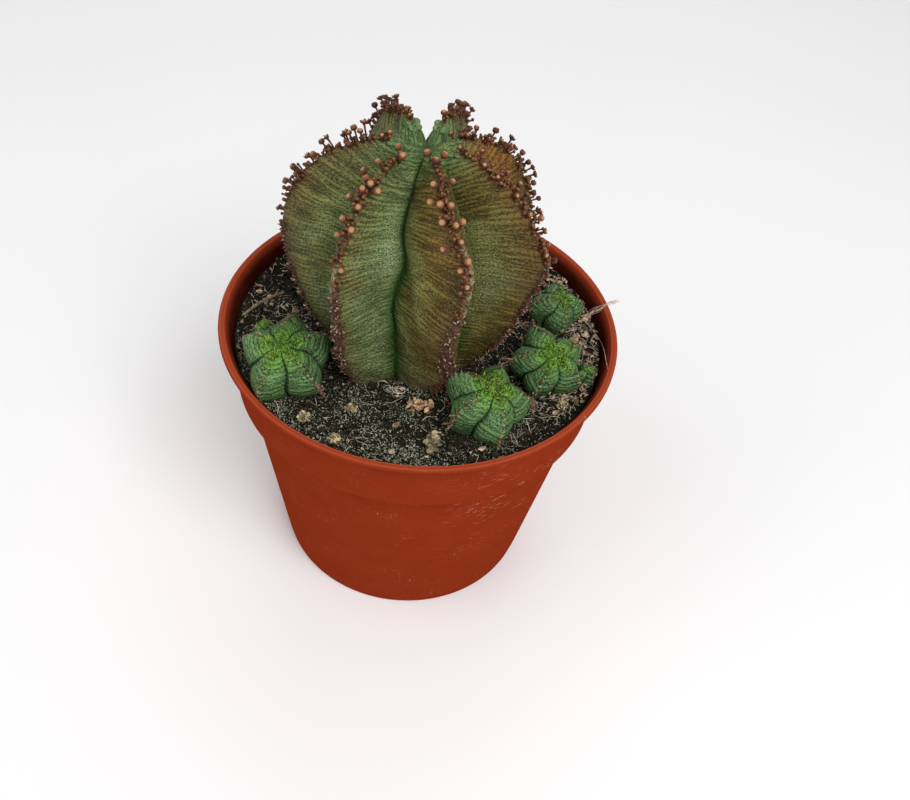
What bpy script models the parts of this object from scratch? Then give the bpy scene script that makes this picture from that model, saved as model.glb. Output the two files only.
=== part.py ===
"""Potted euphorbia: a seven-ribbed succulent with six offsets, rooted in a 12 cm nursery pot.

Metres, +Z up. The origin is the middle of the pot's underside, and the plant's best side faces -Y.
"""

from math import cos, hypot, pi, radians, sin, sqrt

import bmesh
import bpy
from mathutils import Euler, Vector, noise

MM = 0.001
GAP = 0.3 * MM  # clearance kept between any two pieces that touch

# Pot: a thin-walled injection-moulded nursery pot with a collar and a rolled lip.
POT_HEIGHT = 91.7 * MM
RIM_RADIUS = 60.0 * MM
COLLAR_HEIGHT = 21.0 * MM
LIP_OVERHANG = 2.7 * MM
COLLAR_TAPER = 1.8 * MM
COLLAR_STEP = 2.7 * MM
BODY_TAPER = 10.8 * MM
WALL = 1.2 * MM
LIP_THICKNESS = 1.8 * MM
LIP_ROUNDING = 0.3  # share of the lip's thickness
FLOOR_THICKNESS = 1.5 * MM
FOOT_HEIGHT = 2.5 * MM
FOOT_WIDTH = 4.0 * MM
FOOT_CHAMFER = 0.8 * MM
DRAIN_HOLES = 6
DRAIN_HOLE_RADIUS = 3.5 * MM
DRAIN_HOLE_FROM_FOOT = 14.0 * MM
DRAIN_HOLE_SIDES = 12
DRAIN_HOLE_TWIST = 0.3  # share of a side, which keeps a hole's corners off the floor's own edges
TURNED_STEPS = 48  # a multiple of four, so that the rim reaches its full width along X and Y

COLLAR_TOP_RADIUS = RIM_RADIUS - LIP_OVERHANG
COLLAR_FOOT_RADIUS = COLLAR_TOP_RADIUS - COLLAR_TAPER
BODY_TOP_RADIUS = COLLAR_FOOT_RADIUS - COLLAR_STEP
BASE_RADIUS = BODY_TOP_RADIUS - BODY_TAPER
DRAIN_CIRCLE_RADIUS = BASE_RADIUS - FOOT_WIDTH - DRAIN_HOLE_FROM_FOOT
SHELF_HEIGHT = POT_HEIGHT - COLLAR_HEIGHT
FLOOR_TOP = FOOT_HEIGHT + FLOOR_THICKNESS
BODY_SLOPE = BODY_TAPER / SHELF_HEIGHT

# Soil: fills the pot to just under the rim, with a slightly uneven top.
SOIL_BELOW_RIM = 5.4 * MM
SOIL_ROUGHNESS = 0.6 * MM
SOIL_WAVE = 22.0 * MM
SOIL_RINGS = 8
SOIL_TOP = POT_HEIGHT - SOIL_BELOW_RIM
SOIL_RADIUS = (
    COLLAR_FOOT_RADIUS - WALL - GAP + COLLAR_TAPER / COLLAR_HEIGHT * (SOIL_TOP - SHELF_HEIGHT)
)

# Main stem. Profile points are shares of half the width and of the height above the soil.
STEM_FOOT = (-4.0 * MM, -3.0 * MM)
STEM_LEAN = (2.0 * MM, 0.0)
STEM_WIDTH = 74.0 * MM
STEM_HEIGHT = 68.0 * MM
STEM_ROOT_DEPTH = 4.8 * MM
STEM_RINGS = 22
FLANK_STEPS = 3  # corners from a crest to the furrow beside it
FLANK_BULGE = 0.92  # below 1 the flanks swell outwards
WAVES = 7.0  # radians of the crests' sideways wave, from foot to tip
ROOT_TAPER = 0.86  # the root's end, as a share of the width at the soil
STEM_CREST = [
    (0.66, 0.04), (0.77, 0.13), (0.90, 0.29), (0.99, 0.49), (1.00, 0.64), (0.90, 0.80),
    (0.72, 0.92), (0.48, 0.985), (0.27, 1.0), (0.14, 0.985),
]  # fmt: skip
STEM_FURROW = [
    (0.46, 0.04), (0.50, 0.15), (0.53, 0.32), (0.53, 0.52), (0.47, 0.70), (0.34, 0.84),
    (0.20, 0.93), (0.08, 0.965), (0.02, 0.965),
]  # fmt: skip
# (name, azimuth in degrees from -Y towards +X, reach, rise, sideways wave in degrees, its phase)
STEM_RIBS = [
    ("front_left", -28.0, 1.00, 1.00, 2.5, 3.4),
    ("front_right", 26.0, 1.00, 1.00, 5.0, -1.0),
    ("right", 66.0, 0.98, 1.00, 1.5, 0.0),
    ("back_right", 112.0, 0.86, 1.00, 2.0, 1.0),
    ("back", 160.0, 0.85, 1.02, 2.0, 2.0),
    ("back_left", 215.0, 0.88, 1.02, 2.0, 0.5),
    ("left", 278.0, 0.99, 1.00, 2.0, 1.5),
]

# Everything else on the soil is placed about the stem's foot: by an azimuth, and by a share of the
# room between the stem (0) and the pot's wall (1).
STEM_SIDE = STEM_CREST[0][0] * STEM_WIDTH / 2

# Offsets: (name, azimuth, place, half width as a share of the room, height, ribs, first rib's
# azimuth, lean, azimuth of the lean), with angles in degrees.
OFFSETS = [
    ("left", -53.0, 0.50, 0.480, 16.0 * MM, 5, 180.0, 10.0, -70.0),
    ("front_right", 42.3, 0.434, 0.386, 15.0 * MM, 5, 75.0, 16.0, 60.0),
    ("right", 79.2, 0.463, 0.308, 14.0 * MM, 5, 20.0, 22.0, 75.0),
    ("back_right", 111.5, 0.655, 0.224, 10.5 * MM, 4, 80.0, 18.0, 110.0),
    ("rim", 81.9, 0.902, 0.093, 5.5 * MM, 4, 30.0, 8.0, 60.0),
    ("bud", -79.5, 0.636, 0.133, 5.0 * MM, 4, 10.0, 8.0, -60.0),
]
OFFSET_ROOT_DEPTH = 2.6 * MM
OFFSET_RINGS = 9
OFFSET_CREST = [
    (0.74, 0.02), (0.93, 0.28), (1.00, 0.52), (0.90, 0.75), (0.62, 0.92), (0.30, 0.99), (0.12, 0.985),
]  # fmt: skip
OFFSET_FURROW = [
    (0.50, 0.02), (0.58, 0.28), (0.60, 0.50), (0.50, 0.72), (0.31, 0.88), (0.12, 0.96), (0.03, 0.95),
]  # fmt: skip

# Flower rows: one beaded row of stalked buds above each crest, thinning into dry stubs below.
FLOWER_ROW_START = 0.24  # share of the way up the crest
FLOWER_ROW_END = 0.93
BUD_RADIUS = 1.7 * MM
STUB_RADIUS = 0.45 * MM
BUD_SPACING = 5.0 * MM
FLOWER_SIDES = 6
FLOWER_STEP = 2.5 * MM
FLOWER_SWELL = 2.2  # the buds reach their full size at 1/2.2 of the way up the row
BETWEEN_BUDS = 0.1  # the row's swelling between two buds, as a share of a bud's
CREST_SAMPLES = 200

# Grains and chips on the soil: (name, azimuth, place, length, width, height, turn in degrees, colour).
# A place of 1 is against the pot's wall.
BARK_COLOUR = (0.36, 0.15, 0.06)
GRIT_COLOUR = (0.42, 0.33, 0.14)
LITTER = [
    ("grit_front", 16.8, 0.842, 8.5 * MM, 5.0 * MM, 4.0 * MM, 78.0, GRIT_COLOUR),
    ("grit_front_left", -16.6, 0.995, 4.5 * MM, 4.0 * MM, 3.0 * MM, 30.0, GRIT_COLOUR),
    ("grit_left", -30.7, 0.928, 5.5 * MM, 3.2 * MM, 2.6 * MM, 40.0, GRIT_COLOUR),
    ("grit_middle", -17.7, 0.491, 5.0 * MM, 3.0 * MM, 2.4 * MM, 10.0, GRIT_COLOUR),
    ("grit_right", 64.6, 0.943, 4.5 * MM, 3.6 * MM, 2.8 * MM, 60.0, GRIT_COLOUR),
    ("bark_chip_front", 12.7, 0.329, 8.0 * MM, 3.6 * MM, 2.0 * MM, -20.0, BARK_COLOUR),
    ("bark_chip_right", 94.4, 0.869, 5.0 * MM, 3.4 * MM, 2.2 * MM, 70.0, BARK_COLOUR),
]
LITTER_SEED = 5.0
LITTER_ROUGHNESS = 0.35
LITTER_LUMPS = 3.0  # lumps of the noise across a grain

# Thin dead stems and roots: (name, radius, colour, [(azimuth, place, height above the soil), ...])
TWIG_COLOUR = (0.30, 0.20, 0.12)
ROOT_COLOUR = (0.55, 0.38, 0.30)
FIBRES = [
    ("twig_left", 0.7 * MM, TWIG_COLOUR,
     [(-87.7, 0.94, 1.8 * MM), (-95.7, 0.77, 2.0 * MM), (-104.2, 0.59, 2.2 * MM)]),
    ("root_strands_rim", 0.6 * MM, ROOT_COLOUR,
     [(98.7, 0.895, 2.8 * MM), (103.0, 0.94, 3.9 * MM), (110.4, 0.955, 7.0 * MM)]),
    ("root_strand_right", 0.4 * MM, ROOT_COLOUR,
     [(97.5, 0.93, 1.0 * MM), (92.5, 0.95, 1.2 * MM), (87.0, 0.955, 1.0 * MM)]),
    ("root_strand_back", 0.4 * MM, ROOT_COLOUR,
     [(122.2, 0.835, 1.6 * MM), (128.0, 0.86, 3.5 * MM), (133.6, 0.93, 7.5 * MM)]),
]  # fmt: skip
FIBRE_STEP = 2.5 * MM
FIBRE_SIDES = 5
FIBRE_TAPER = 0.55  # a fibre's ends, as a share of its middle
TUBE_TIP = 0.4  # how far a tube's end point stands out, as a share of its last step


def clear_scene():
    for obj in list(bpy.data.objects):
        bpy.data.objects.remove(obj, do_unlink=True)


def material(name, colour, roughness):
    made = bpy.data.materials.new(name)
    made.use_nodes = True
    made.diffuse_color = (*colour, 1.0)
    shader = made.node_tree.nodes["Principled BSDF"]
    shader.inputs["Base Color"].default_value = (*colour, 1.0)
    shader.inputs["Roughness"].default_value = roughness
    shader.inputs["Metallic"].default_value = 0.0
    return made


def add_object(name, points, faces, surface, helper=False):
    mesh = bpy.data.meshes.new(name)
    mesh.from_pydata([tuple(point) for point in points], [], faces)
    shape = bmesh.new()
    shape.from_mesh(mesh)
    bmesh.ops.recalc_face_normals(shape, faces=shape.faces)
    shape.to_mesh(mesh)
    shape.free()
    mesh.shade_smooth()
    mesh.set_sharp_from_angle(angle=radians(40))
    obj = bpy.data.objects.new(name, mesh)
    bpy.context.collection.objects.link(obj)
    if helper:
        obj.hide_render = True
        obj.display_type = "WIRE"
    else:
        mesh.materials.append(surface)
    return obj


def cut(obj, cutter):
    modifier = obj.modifiers.new("cut_" + cutter.name, "BOOLEAN")
    modifier.operation = "DIFFERENCE"
    modifier.object = cutter


def ring_faces(rings, sides, first_cap, last_cap):
    """Faces of a tube of rings, each of the same number of sides, closed by a point at each end."""
    faces = []
    for ring in range(rings - 1):
        for side in range(sides):
            here = ring * sides + side
            beside = ring * sides + (side + 1) % sides
            faces.append((here, beside, beside + sides, here + sides))
    last = (rings - 1) * sides
    for side in range(sides):
        beside = (side + 1) % sides
        faces.append((beside, side, first_cap))
        faces.append((last + side, last + beside, last_cap))
    return faces


def smooth_curve(points, count):
    """Evenly spaced points along a Catmull-Rom curve through the given points."""
    points = [Vector(point) for point in points]
    ends = [2 * points[0] - points[1]] + points + [2 * points[-1] - points[-2]]
    dense = []
    for before, start, end, after in zip(ends, ends[1:], ends[2:], ends[3:]):
        for step in range(12):
            t = step / 12
            dense.append(
                0.5
                * (
                    2 * start
                    + (end - before) * t
                    + (2 * before - 5 * start + 4 * end - after) * t**2
                    + (3 * start - before - 3 * end + after) * t**3
                )
            )
    dense.append(points[-1])
    reached = [0.0]
    for start, end in zip(dense, dense[1:]):
        reached.append(reached[-1] + (end - start).length)
    spread = []
    leg = 0
    for step in range(count):
        wanted = reached[-1] * step / (count - 1)
        while leg < len(dense) - 2 and reached[leg + 1] < wanted:
            leg += 1
        share = (wanted - reached[leg]) / (reached[leg + 1] - reached[leg])
        spread.append(dense[leg].lerp(dense[leg + 1], share))
    return spread


def turned(name, outline, surface):
    """A solid of revolution about Z from a closed outline of (radius, height) points."""
    points = []
    for step in range(TURNED_STEPS):
        angle = 2 * pi * step / TURNED_STEPS
        for radius, height in outline:
            points.append((radius * cos(angle), radius * sin(angle), height))
    count = len(outline)
    faces = []
    for step in range(TURNED_STEPS):
        this = step * count
        following = (step + 1) % TURNED_STEPS * count
        for corner in range(count):
            after = (corner + 1) % count
            faces.append((this + corner, following + corner, following + after, this + after))
    return add_object(name, points, faces, surface)


def wall_outline():
    """The pot's wall from the floor's underside, out, up to the lip, over it and down the inside."""
    lip_low = POT_HEIGHT - LIP_THICKNESS
    lip_edge = LIP_ROUNDING * LIP_THICKNESS
    outside = [
        (DRAIN_HOLE_RADIUS, FOOT_HEIGHT),
        (BASE_RADIUS - FOOT_WIDTH, FOOT_HEIGHT),
        (BASE_RADIUS - FOOT_WIDTH + FOOT_CHAMFER, 0.0),
        (BASE_RADIUS - FOOT_CHAMFER, 0.0),
        (BASE_RADIUS + BODY_SLOPE * FOOT_CHAMFER, FOOT_CHAMFER),
        (BODY_TOP_RADIUS, SHELF_HEIGHT),
        (COLLAR_FOOT_RADIUS, SHELF_HEIGHT),
        (COLLAR_TOP_RADIUS, lip_low),
        (RIM_RADIUS - lip_edge, lip_low),
        (RIM_RADIUS, lip_low + lip_edge),
        (RIM_RADIUS, POT_HEIGHT - lip_edge),
        (RIM_RADIUS - lip_edge, POT_HEIGHT),
    ]
    inside = [
        (COLLAR_TOP_RADIUS - WALL, POT_HEIGHT),
        (COLLAR_FOOT_RADIUS - WALL, SHELF_HEIGHT + WALL),
        (BODY_TOP_RADIUS - WALL, SHELF_HEIGHT + WALL),
        (BASE_RADIUS + BODY_SLOPE * FLOOR_TOP - WALL, FLOOR_TOP),
        (DRAIN_HOLE_RADIUS, FLOOR_TOP),
    ]
    return outside + inside


def make_pot(surface):
    pot = turned("pot", wall_outline(), surface)
    for hole in range(DRAIN_HOLES):
        angle = 2 * pi * (hole + 0.5) / DRAIN_HOLES
        drill(pot, DRAIN_CIRCLE_RADIUS * cos(angle), DRAIN_CIRCLE_RADIUS * sin(angle), hole)


def drill(pot, x, y, number):
    """A drain hole straight through the pot's floor."""
    low = FOOT_HEIGHT - FLOOR_THICKNESS
    high = FLOOR_TOP + FLOOR_THICKNESS
    points = []
    for height in (low, high):
        for side in range(DRAIN_HOLE_SIDES):
            angle = 2 * pi * (side + DRAIN_HOLE_TWIST) / DRAIN_HOLE_SIDES
            points.append((x + DRAIN_HOLE_RADIUS * cos(angle), y + DRAIN_HOLE_RADIUS * sin(angle), height))
    points += [(x, y, low), (x, y, high)]
    faces = ring_faces(2, DRAIN_HOLE_SIDES, len(points) - 2, len(points) - 1)
    cut(pot, add_object(f"drain_cutter_{number}", points, faces, None, helper=True))


def soil_height(x, y):
    """Height of the soil's uneven top."""
    return SOIL_TOP + SOIL_ROUGHNESS * noise.noise(Vector((x, y, 0.0)) / SOIL_WAVE)


def room_along(azimuth):
    """Distance from the stem's foot to the soil's edge along an azimuth."""
    toward = Vector((sin(azimuth), -cos(azimuth)))
    foot = Vector(STEM_FOOT)
    across = foot.dot(toward)
    return sqrt(across**2 + SOIL_RADIUS**2 - foot.length_squared) - across


def spot(azimuth, place, clear=0.0):
    """The (x, y) of a place between the stem (0) and the pot's wall less clear (1)."""
    turned_to = radians(azimuth)
    reach = STEM_SIDE + place * (room_along(turned_to) - clear - STEM_SIDE)
    return STEM_FOOT[0] + reach * sin(turned_to), STEM_FOOT[1] - reach * cos(turned_to)


def make_soil(surface, sockets):
    low = FLOOR_TOP + GAP
    shelf = SHELF_HEIGHT + WALL + GAP
    sides = [
        (BASE_RADIUS + BODY_SLOPE * low - WALL - GAP, low),
        (BODY_TOP_RADIUS - WALL - GAP, shelf),
        (COLLAR_FOOT_RADIUS - WALL - GAP, shelf),
        (SOIL_RADIUS, None),
    ]
    top = [(SOIL_RADIUS * (1 - ring / SOIL_RINGS), None) for ring in range(1, SOIL_RINGS)]
    points = []
    for radius, height in sides + top:
        for step in range(TURNED_STEPS):
            angle = 2 * pi * step / TURNED_STEPS
            x = radius * cos(angle)
            y = radius * sin(angle)
            points.append((x, y, soil_height(x, y) if height is None else height))
    points.append((0.0, 0.0, low))
    points.append((0.0, 0.0, soil_height(0.0, 0.0)))
    count = len(sides) + len(top)
    faces = ring_faces(count, TURNED_STEPS, len(points) - 2, len(points) - 1)
    soil = add_object("soil", points, faces, surface)
    for socket in sockets:
        cut(soil, socket)
    return soil


def rib_angles(azimuths, rib):
    """The azimuths of a rib's crest and of the furrows on its two sides."""
    here = azimuths[rib]
    before = azimuths[rib - 1] - (2 * pi if rib == 0 else 0)
    after = azimuths[(rib + 1) % len(azimuths)] + (2 * pi if rib == len(azimuths) - 1 else 0)
    return (before + here) / 2, here, (here + after) / 2


def stem_point(crest, furrow, lobe, reach, rise, azimuth, lean, height, grow):
    """A point of a ribbed stem: lobe is 1 on the crest and 0 in the furrow."""
    radius = furrow.x + (crest.x * reach - furrow.x) * lobe + grow
    up = furrow.y + (crest.y * rise - furrow.y) * lobe
    shift = up / height
    return Vector((
        radius * sin(azimuth) + lean[0] * shift,
        -radius * cos(azimuth) + lean[1] * shift,
        up,
    ))


def profile(shape, half_width, height, root_depth):
    """A crest's or furrow's points, from the root's end up, as (distance from the axis, height)."""
    root = (ROOT_TAPER * shape[0][0] * half_width, -root_depth, 0.0)
    return [root] + [(x * half_width, y * height, 0.0) for x, y in shape]


def ribbed_stem(name, crest, furrow, height, ribs, rings, lean, surface, grow=0.0):
    """A stem of wing-like ribs. ribs holds (azimuth, reach, rise, wave, phase) for each, in radians."""
    crest = smooth_curve(crest, rings)
    furrow = smooth_curve(furrow, rings)
    points = []
    for ring in range(rings):
        climb = ring / (rings - 1)
        azimuths = [rib[0] + rib[3] * sin(WAVES * climb + rib[4]) for rib in ribs]
        for number, rib in enumerate(ribs):
            left, middle, right = rib_angles(azimuths, number)
            for step in range(2 * FLANK_STEPS):
                share = step / FLANK_STEPS - 1
                side = left if share < 0 else right
                azimuth = middle + (side - middle) * abs(share)
                lobe = 1 - abs(share) ** FLANK_BULGE
                points.append(stem_point(
                    crest[ring], furrow[ring], lobe, rib[1], rib[2], azimuth, lean, height, grow
                ))
    low = points[0].z - grow
    for point in points[: 2 * FLANK_STEPS * len(ribs)]:
        point.z = low
    points.append(Vector((0.0, 0.0, low)))
    points.append(Vector((lean[0], lean[1], furrow[-1].y + grow)))
    faces = ring_faces(rings, 2 * FLANK_STEPS * len(ribs), len(points) - 2, len(points) - 1)
    return add_object(name, points, faces, surface, helper=surface is None)


def main_stem(name, surface, grow=0.0):
    ribs = [
        (radians(azimuth), reach, rise, radians(wave), phase)
        for _, azimuth, reach, rise, wave, phase in STEM_RIBS
    ]
    crest = profile(STEM_CREST, STEM_WIDTH / 2, STEM_HEIGHT, STEM_ROOT_DEPTH)
    furrow = profile(STEM_FURROW, STEM_WIDTH / 2, STEM_HEIGHT, STEM_ROOT_DEPTH)
    stem = ribbed_stem(name, crest, furrow, STEM_HEIGHT, ribs, STEM_RINGS, STEM_LEAN, surface, grow)
    stem.location = (*STEM_FOOT, SOIL_TOP)
    return stem


def offset_stem(name, row, surface, grow=0.0):
    _, azimuth, place, fill, height, count, first, lean, towards = row
    half_width = fill * (room_along(radians(azimuth)) - STEM_SIDE)
    ribs = [(radians(first) + 2 * pi * rib / count, 1.0, 1.0, 0.0, 0.0) for rib in range(count)]
    crest = profile(OFFSET_CREST, half_width, height, OFFSET_ROOT_DEPTH)
    furrow = profile(OFFSET_FURROW, half_width, height, OFFSET_ROOT_DEPTH)
    stem = ribbed_stem(name, crest, furrow, height, ribs, OFFSET_RINGS, (0.0, 0.0), surface, grow)
    stem.location = (*spot(azimuth, place), SOIL_TOP)
    tilt = radians(lean)
    stem.rotation_euler = Euler((tilt * cos(radians(towards)), tilt * sin(radians(towards)), 0.0))
    return stem


def tube(name, path, radii, sides, surface):
    """A closed tube of varying radius along a path, rounded off to a point at each end."""
    points = []
    for number, (middle, radius) in enumerate(zip(path, radii)):
        along = (path[min(number + 1, len(path) - 1)] - path[max(number - 1, 0)]).normalized()
        across = along.cross(Vector((0.31, 0.42, 0.85))).normalized()
        over = across.cross(along)
        for side in range(sides):
            angle = 2 * pi * side / sides
            points.append(middle + radius * (cos(angle) * across + sin(angle) * over))
    points.append(path[0] + (path[0] - path[1]) * TUBE_TIP)
    points.append(path[-1] + (path[-1] - path[-2]) * TUBE_TIP)
    faces = ring_faces(len(path), sides, len(points) - 2, len(points) - 1)
    return add_object(name, points, faces, surface)


def make_flower_row(row, surface):
    """The stalked buds along one crest, standing clear of the crest by the gap."""
    name, azimuth, reach, rise, wave, phase = row
    crest = smooth_curve(profile(STEM_CREST, STEM_WIDTH / 2, STEM_HEIGHT, STEM_ROOT_DEPTH), CREST_SAMPLES)
    span = [(point.x * reach, point.y * rise) for point in crest]
    first = int(FLOWER_ROW_START * len(span))
    last = int(FLOWER_ROW_END * len(span))
    length = sum(hypot(b[0] - a[0], b[1] - a[1]) for a, b in zip(span[first:last], span[first + 1:]))
    steps = round(length / FLOWER_STEP)
    path = []
    radii = []
    for step in range(steps + 1):
        share = step / steps
        here = first + (last - first) * share
        number = min(int(here), len(span) - 2)
        radius, up = span[number]
        ahead = Vector((span[number + 1][0] - radius, span[number + 1][1] - up)).normalized()
        bead = (1 + cos(2 * pi * step * FLOWER_STEP / BUD_SPACING)) / 2
        bead = BETWEEN_BUDS + (1 - BETWEEN_BUDS) * bead
        thick = STUB_RADIUS + (BUD_RADIUS - STUB_RADIUS) * bead * min(1.0, FLOWER_SWELL * share)
        clear = thick + 2 * GAP
        angle = radians(azimuth) + radians(wave) * sin(WAVES * here / (len(span) - 1) + phase)
        radius += clear * ahead.y
        shift = up / STEM_HEIGHT
        path.append(Vector((
            STEM_FOOT[0] + STEM_LEAN[0] * shift + radius * sin(angle),
            STEM_FOOT[1] + STEM_LEAN[1] * shift - radius * cos(angle),
            SOIL_TOP + up - clear * ahead.x,
        )))
        radii.append(thick)
    return tube("flower_row_" + name, path, radii, FLOWER_SIDES, surface)


def make_litter(row, surfaces):
    """A rough grain or chip that lies on the soil."""
    name, azimuth, place, length, width, height, turn, colour = row
    x, y = spot(azimuth, place, length / 2 + GAP)
    shape = bmesh.new()
    bmesh.ops.create_icosphere(shape, subdivisions=2, radius=0.5)
    for vert in shape.verts:
        seed = Vector((LITTER_SEED + x / MM, y / MM, 0.0))
        rough = 1 + LITTER_ROUGHNESS * noise.noise(vert.co * LITTER_LUMPS + seed)
        vert.co = Vector((vert.co.x * length, vert.co.y * width, vert.co.z * height)) * rough
    mesh = bpy.data.meshes.new(name)
    shape.to_mesh(mesh)
    shape.free()
    mesh.shade_smooth()
    mesh.materials.append(surfaces[colour])
    obj = bpy.data.objects.new(name, mesh)
    bpy.context.collection.objects.link(obj)
    lowest = min(vert.co.z for vert in mesh.vertices)
    under = max(
        soil_height(x + dx * length / 2, y + dy * length / 2) for dx in (-1, 0, 1) for dy in (-1, 0, 1)
    )
    obj.location = (x, y, under + GAP - lowest)
    obj.rotation_euler = (0.0, 0.0, radians(turn))
    return obj


def make_fibre(row, surfaces):
    """A twig or a root strand that lies over the soil, tapered at both ends."""
    name, radius, colour, route = row
    route = [Vector((*spot(azimuth, place), SOIL_TOP + up)) for azimuth, place, up in route]
    length = sum((b - a).length for a, b in zip(route, route[1:]))
    count = max(4, round(length / FIBRE_STEP))
    path = smooth_curve(route, count)
    swell = [sin(pi * step / (count - 1)) for step in range(count)]
    radii = [radius * (FIBRE_TAPER + (1 - FIBRE_TAPER) * share) for share in swell]
    return tube(name, path, radii, FIBRE_SIDES, surfaces[colour])


def main():
    clear_scene()
    plastic = material("pot_plastic", (0.26, 0.035, 0.012), 0.42)
    potting = material("potting_soil", (0.018, 0.013, 0.009), 0.95)
    skin = material("stem_skin", (0.10, 0.14, 0.05), 0.6)
    young_skin = material("offset_skin", (0.07, 0.20, 0.06), 0.5)
    buds = material("dry_buds", (0.16, 0.035, 0.018), 0.7)
    surfaces = {
        colour: material(name, colour, 0.9)
        for name, colour in (
            ("bark", BARK_COLOUR), ("grit", GRIT_COLOUR), ("twig", TWIG_COLOUR), ("root", ROOT_COLOUR),
        )
    }
    make_pot(plastic)
    main_stem("main_stem", skin)
    sockets = [main_stem("stem_socket", None, GAP)]
    for row in OFFSETS:
        offset_stem("offset_" + row[0], row, young_skin)
        sockets.append(offset_stem("offset_socket_" + row[0], row, None, GAP))
    make_soil(potting, sockets)
    for row in STEM_RIBS:
        make_flower_row(row, buds)
    for row in LITTER:
        make_litter(row, surfaces)
    for row in FIBRES:
        make_fibre(row, surfaces)


main()
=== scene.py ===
"""Looks of a potted euphorbia: a ribbed, flowering stem and its offsets in a nursery pot.

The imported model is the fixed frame: metres, +Z up, the pot standing on z = 0 and the plant's best side
facing -Y. Shapes are worked out in millimetres and scaled when each piece is built.
"""

from collections import namedtuple
from math import cos, pi, radians, sin

import bmesh
import bpy
import numpy as np
from mathutils import Matrix, Vector, noise


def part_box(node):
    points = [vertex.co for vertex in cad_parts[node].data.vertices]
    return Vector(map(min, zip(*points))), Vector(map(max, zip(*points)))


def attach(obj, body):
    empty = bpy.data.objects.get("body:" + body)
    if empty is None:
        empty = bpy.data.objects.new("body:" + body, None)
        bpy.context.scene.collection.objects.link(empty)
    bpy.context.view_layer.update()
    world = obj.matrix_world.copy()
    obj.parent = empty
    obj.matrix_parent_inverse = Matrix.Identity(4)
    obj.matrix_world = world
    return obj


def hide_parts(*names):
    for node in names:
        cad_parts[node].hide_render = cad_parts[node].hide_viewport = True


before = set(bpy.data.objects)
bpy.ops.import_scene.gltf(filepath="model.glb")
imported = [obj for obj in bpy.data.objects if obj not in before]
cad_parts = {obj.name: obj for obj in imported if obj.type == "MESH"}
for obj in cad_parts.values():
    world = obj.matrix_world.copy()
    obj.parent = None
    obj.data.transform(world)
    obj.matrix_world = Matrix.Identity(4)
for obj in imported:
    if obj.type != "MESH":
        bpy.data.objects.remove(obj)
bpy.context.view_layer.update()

MM = 0.001
FULL_TURN = 6.28  # radians, for a heading drawn at random
rng = np.random.default_rng(11)

# Pot, as in the CAD.
POT_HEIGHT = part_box("pot")[1].z / MM
RIM_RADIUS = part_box("pot")[1].x / MM
COLLAR_HEIGHT = 21.0
COLLAR_TOP_RADIUS = RIM_RADIUS - 2.7
COLLAR_FOOT_RADIUS = COLLAR_TOP_RADIUS - 1.8
BODY_TOP_RADIUS = COLLAR_FOOT_RADIUS - 2.7
BASE_RADIUS = BODY_TOP_RADIUS - 10.8
SHELF_HEIGHT = POT_HEIGHT - COLLAR_HEIGHT
WALL = 1.2
LIP_THICKNESS = 1.8
FOOT_HEIGHT = 2.5
FOOT_WIDTH = 4.0
FLOOR_TOP = 4.0
DRAIN_HOLES = 6
DRAIN_HOLE_RADIUS = 3.5
DRAIN_CIRCLE_RADIUS = BASE_RADIUS - FOOT_WIDTH - 14.0
POT_SIDES = 288
UNROLLED_RADIUS = 55.0  # turns an azimuth on the wall into millimetres for its noise
# The scuffed place on the wall: azimuth in degrees, its reach in radians, height, reach in height.
SCUFF_AZIMUTH, SCUFF_TURN = -52, 0.30
SCUFF_HEIGHT, SCUFF_TALL = 64.0, 22.0

# Soil.
SOIL_TOP = POT_HEIGHT - 5.4
SOIL_RADIUS = COLLAR_FOOT_RADIUS - WALL - 0.1 + 1.8 / COLLAR_HEIGHT * (SOIL_TOP - SHELF_HEIGHT)
SOIL_LOW = FLOOR_TOP + 0.3
SOIL_RINGS, SOIL_SIDES = 170, 420
SOIL_WAVE, SOIL_WAVE_LENGTH = 0.6, 22.0  # the CAD's slow unevenness
SOIL_LUMPS, SOIL_GRAINS = 0.55, 0.22  # relief on top of it

# Main stem: profile points are shares of half the width and of the height above the soil.
STEM_FOOT = (-4.0, -3.0)
STEM_FOOT_RADIUS = 17.0  # no litter within it
STEM_LEAN = (2.0, 0.0)
STEM_WIDTH = 74.0
STEM_HEIGHT = 68.0
STEM_ROOT_DEPTH = 4.8
STEM_PLACE = Matrix.Translation(Vector((*STEM_FOOT, SOIL_TOP)) * MM)
ROOT_TAPER = 0.86  # width at a root's end, as a share of the width just above the soil
FLANK_BULGE = 0.92  # below 1, flanks are hollow near the crest
STEM_CREST = [
    (0.66, 0.04), (0.77, 0.13), (0.90, 0.29), (0.99, 0.49), (1.00, 0.64), (0.90, 0.80),
    (0.72, 0.92), (0.48, 0.985), (0.27, 1.0), (0.14, 0.985),
]
STEM_FURROW = [
    (0.53, 0.04), (0.545, 0.15), (0.54, 0.32), (0.53, 0.52), (0.47, 0.70), (0.34, 0.84),
    (0.20, 0.93), (0.08, 0.965), (0.02, 0.965),
]
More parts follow.
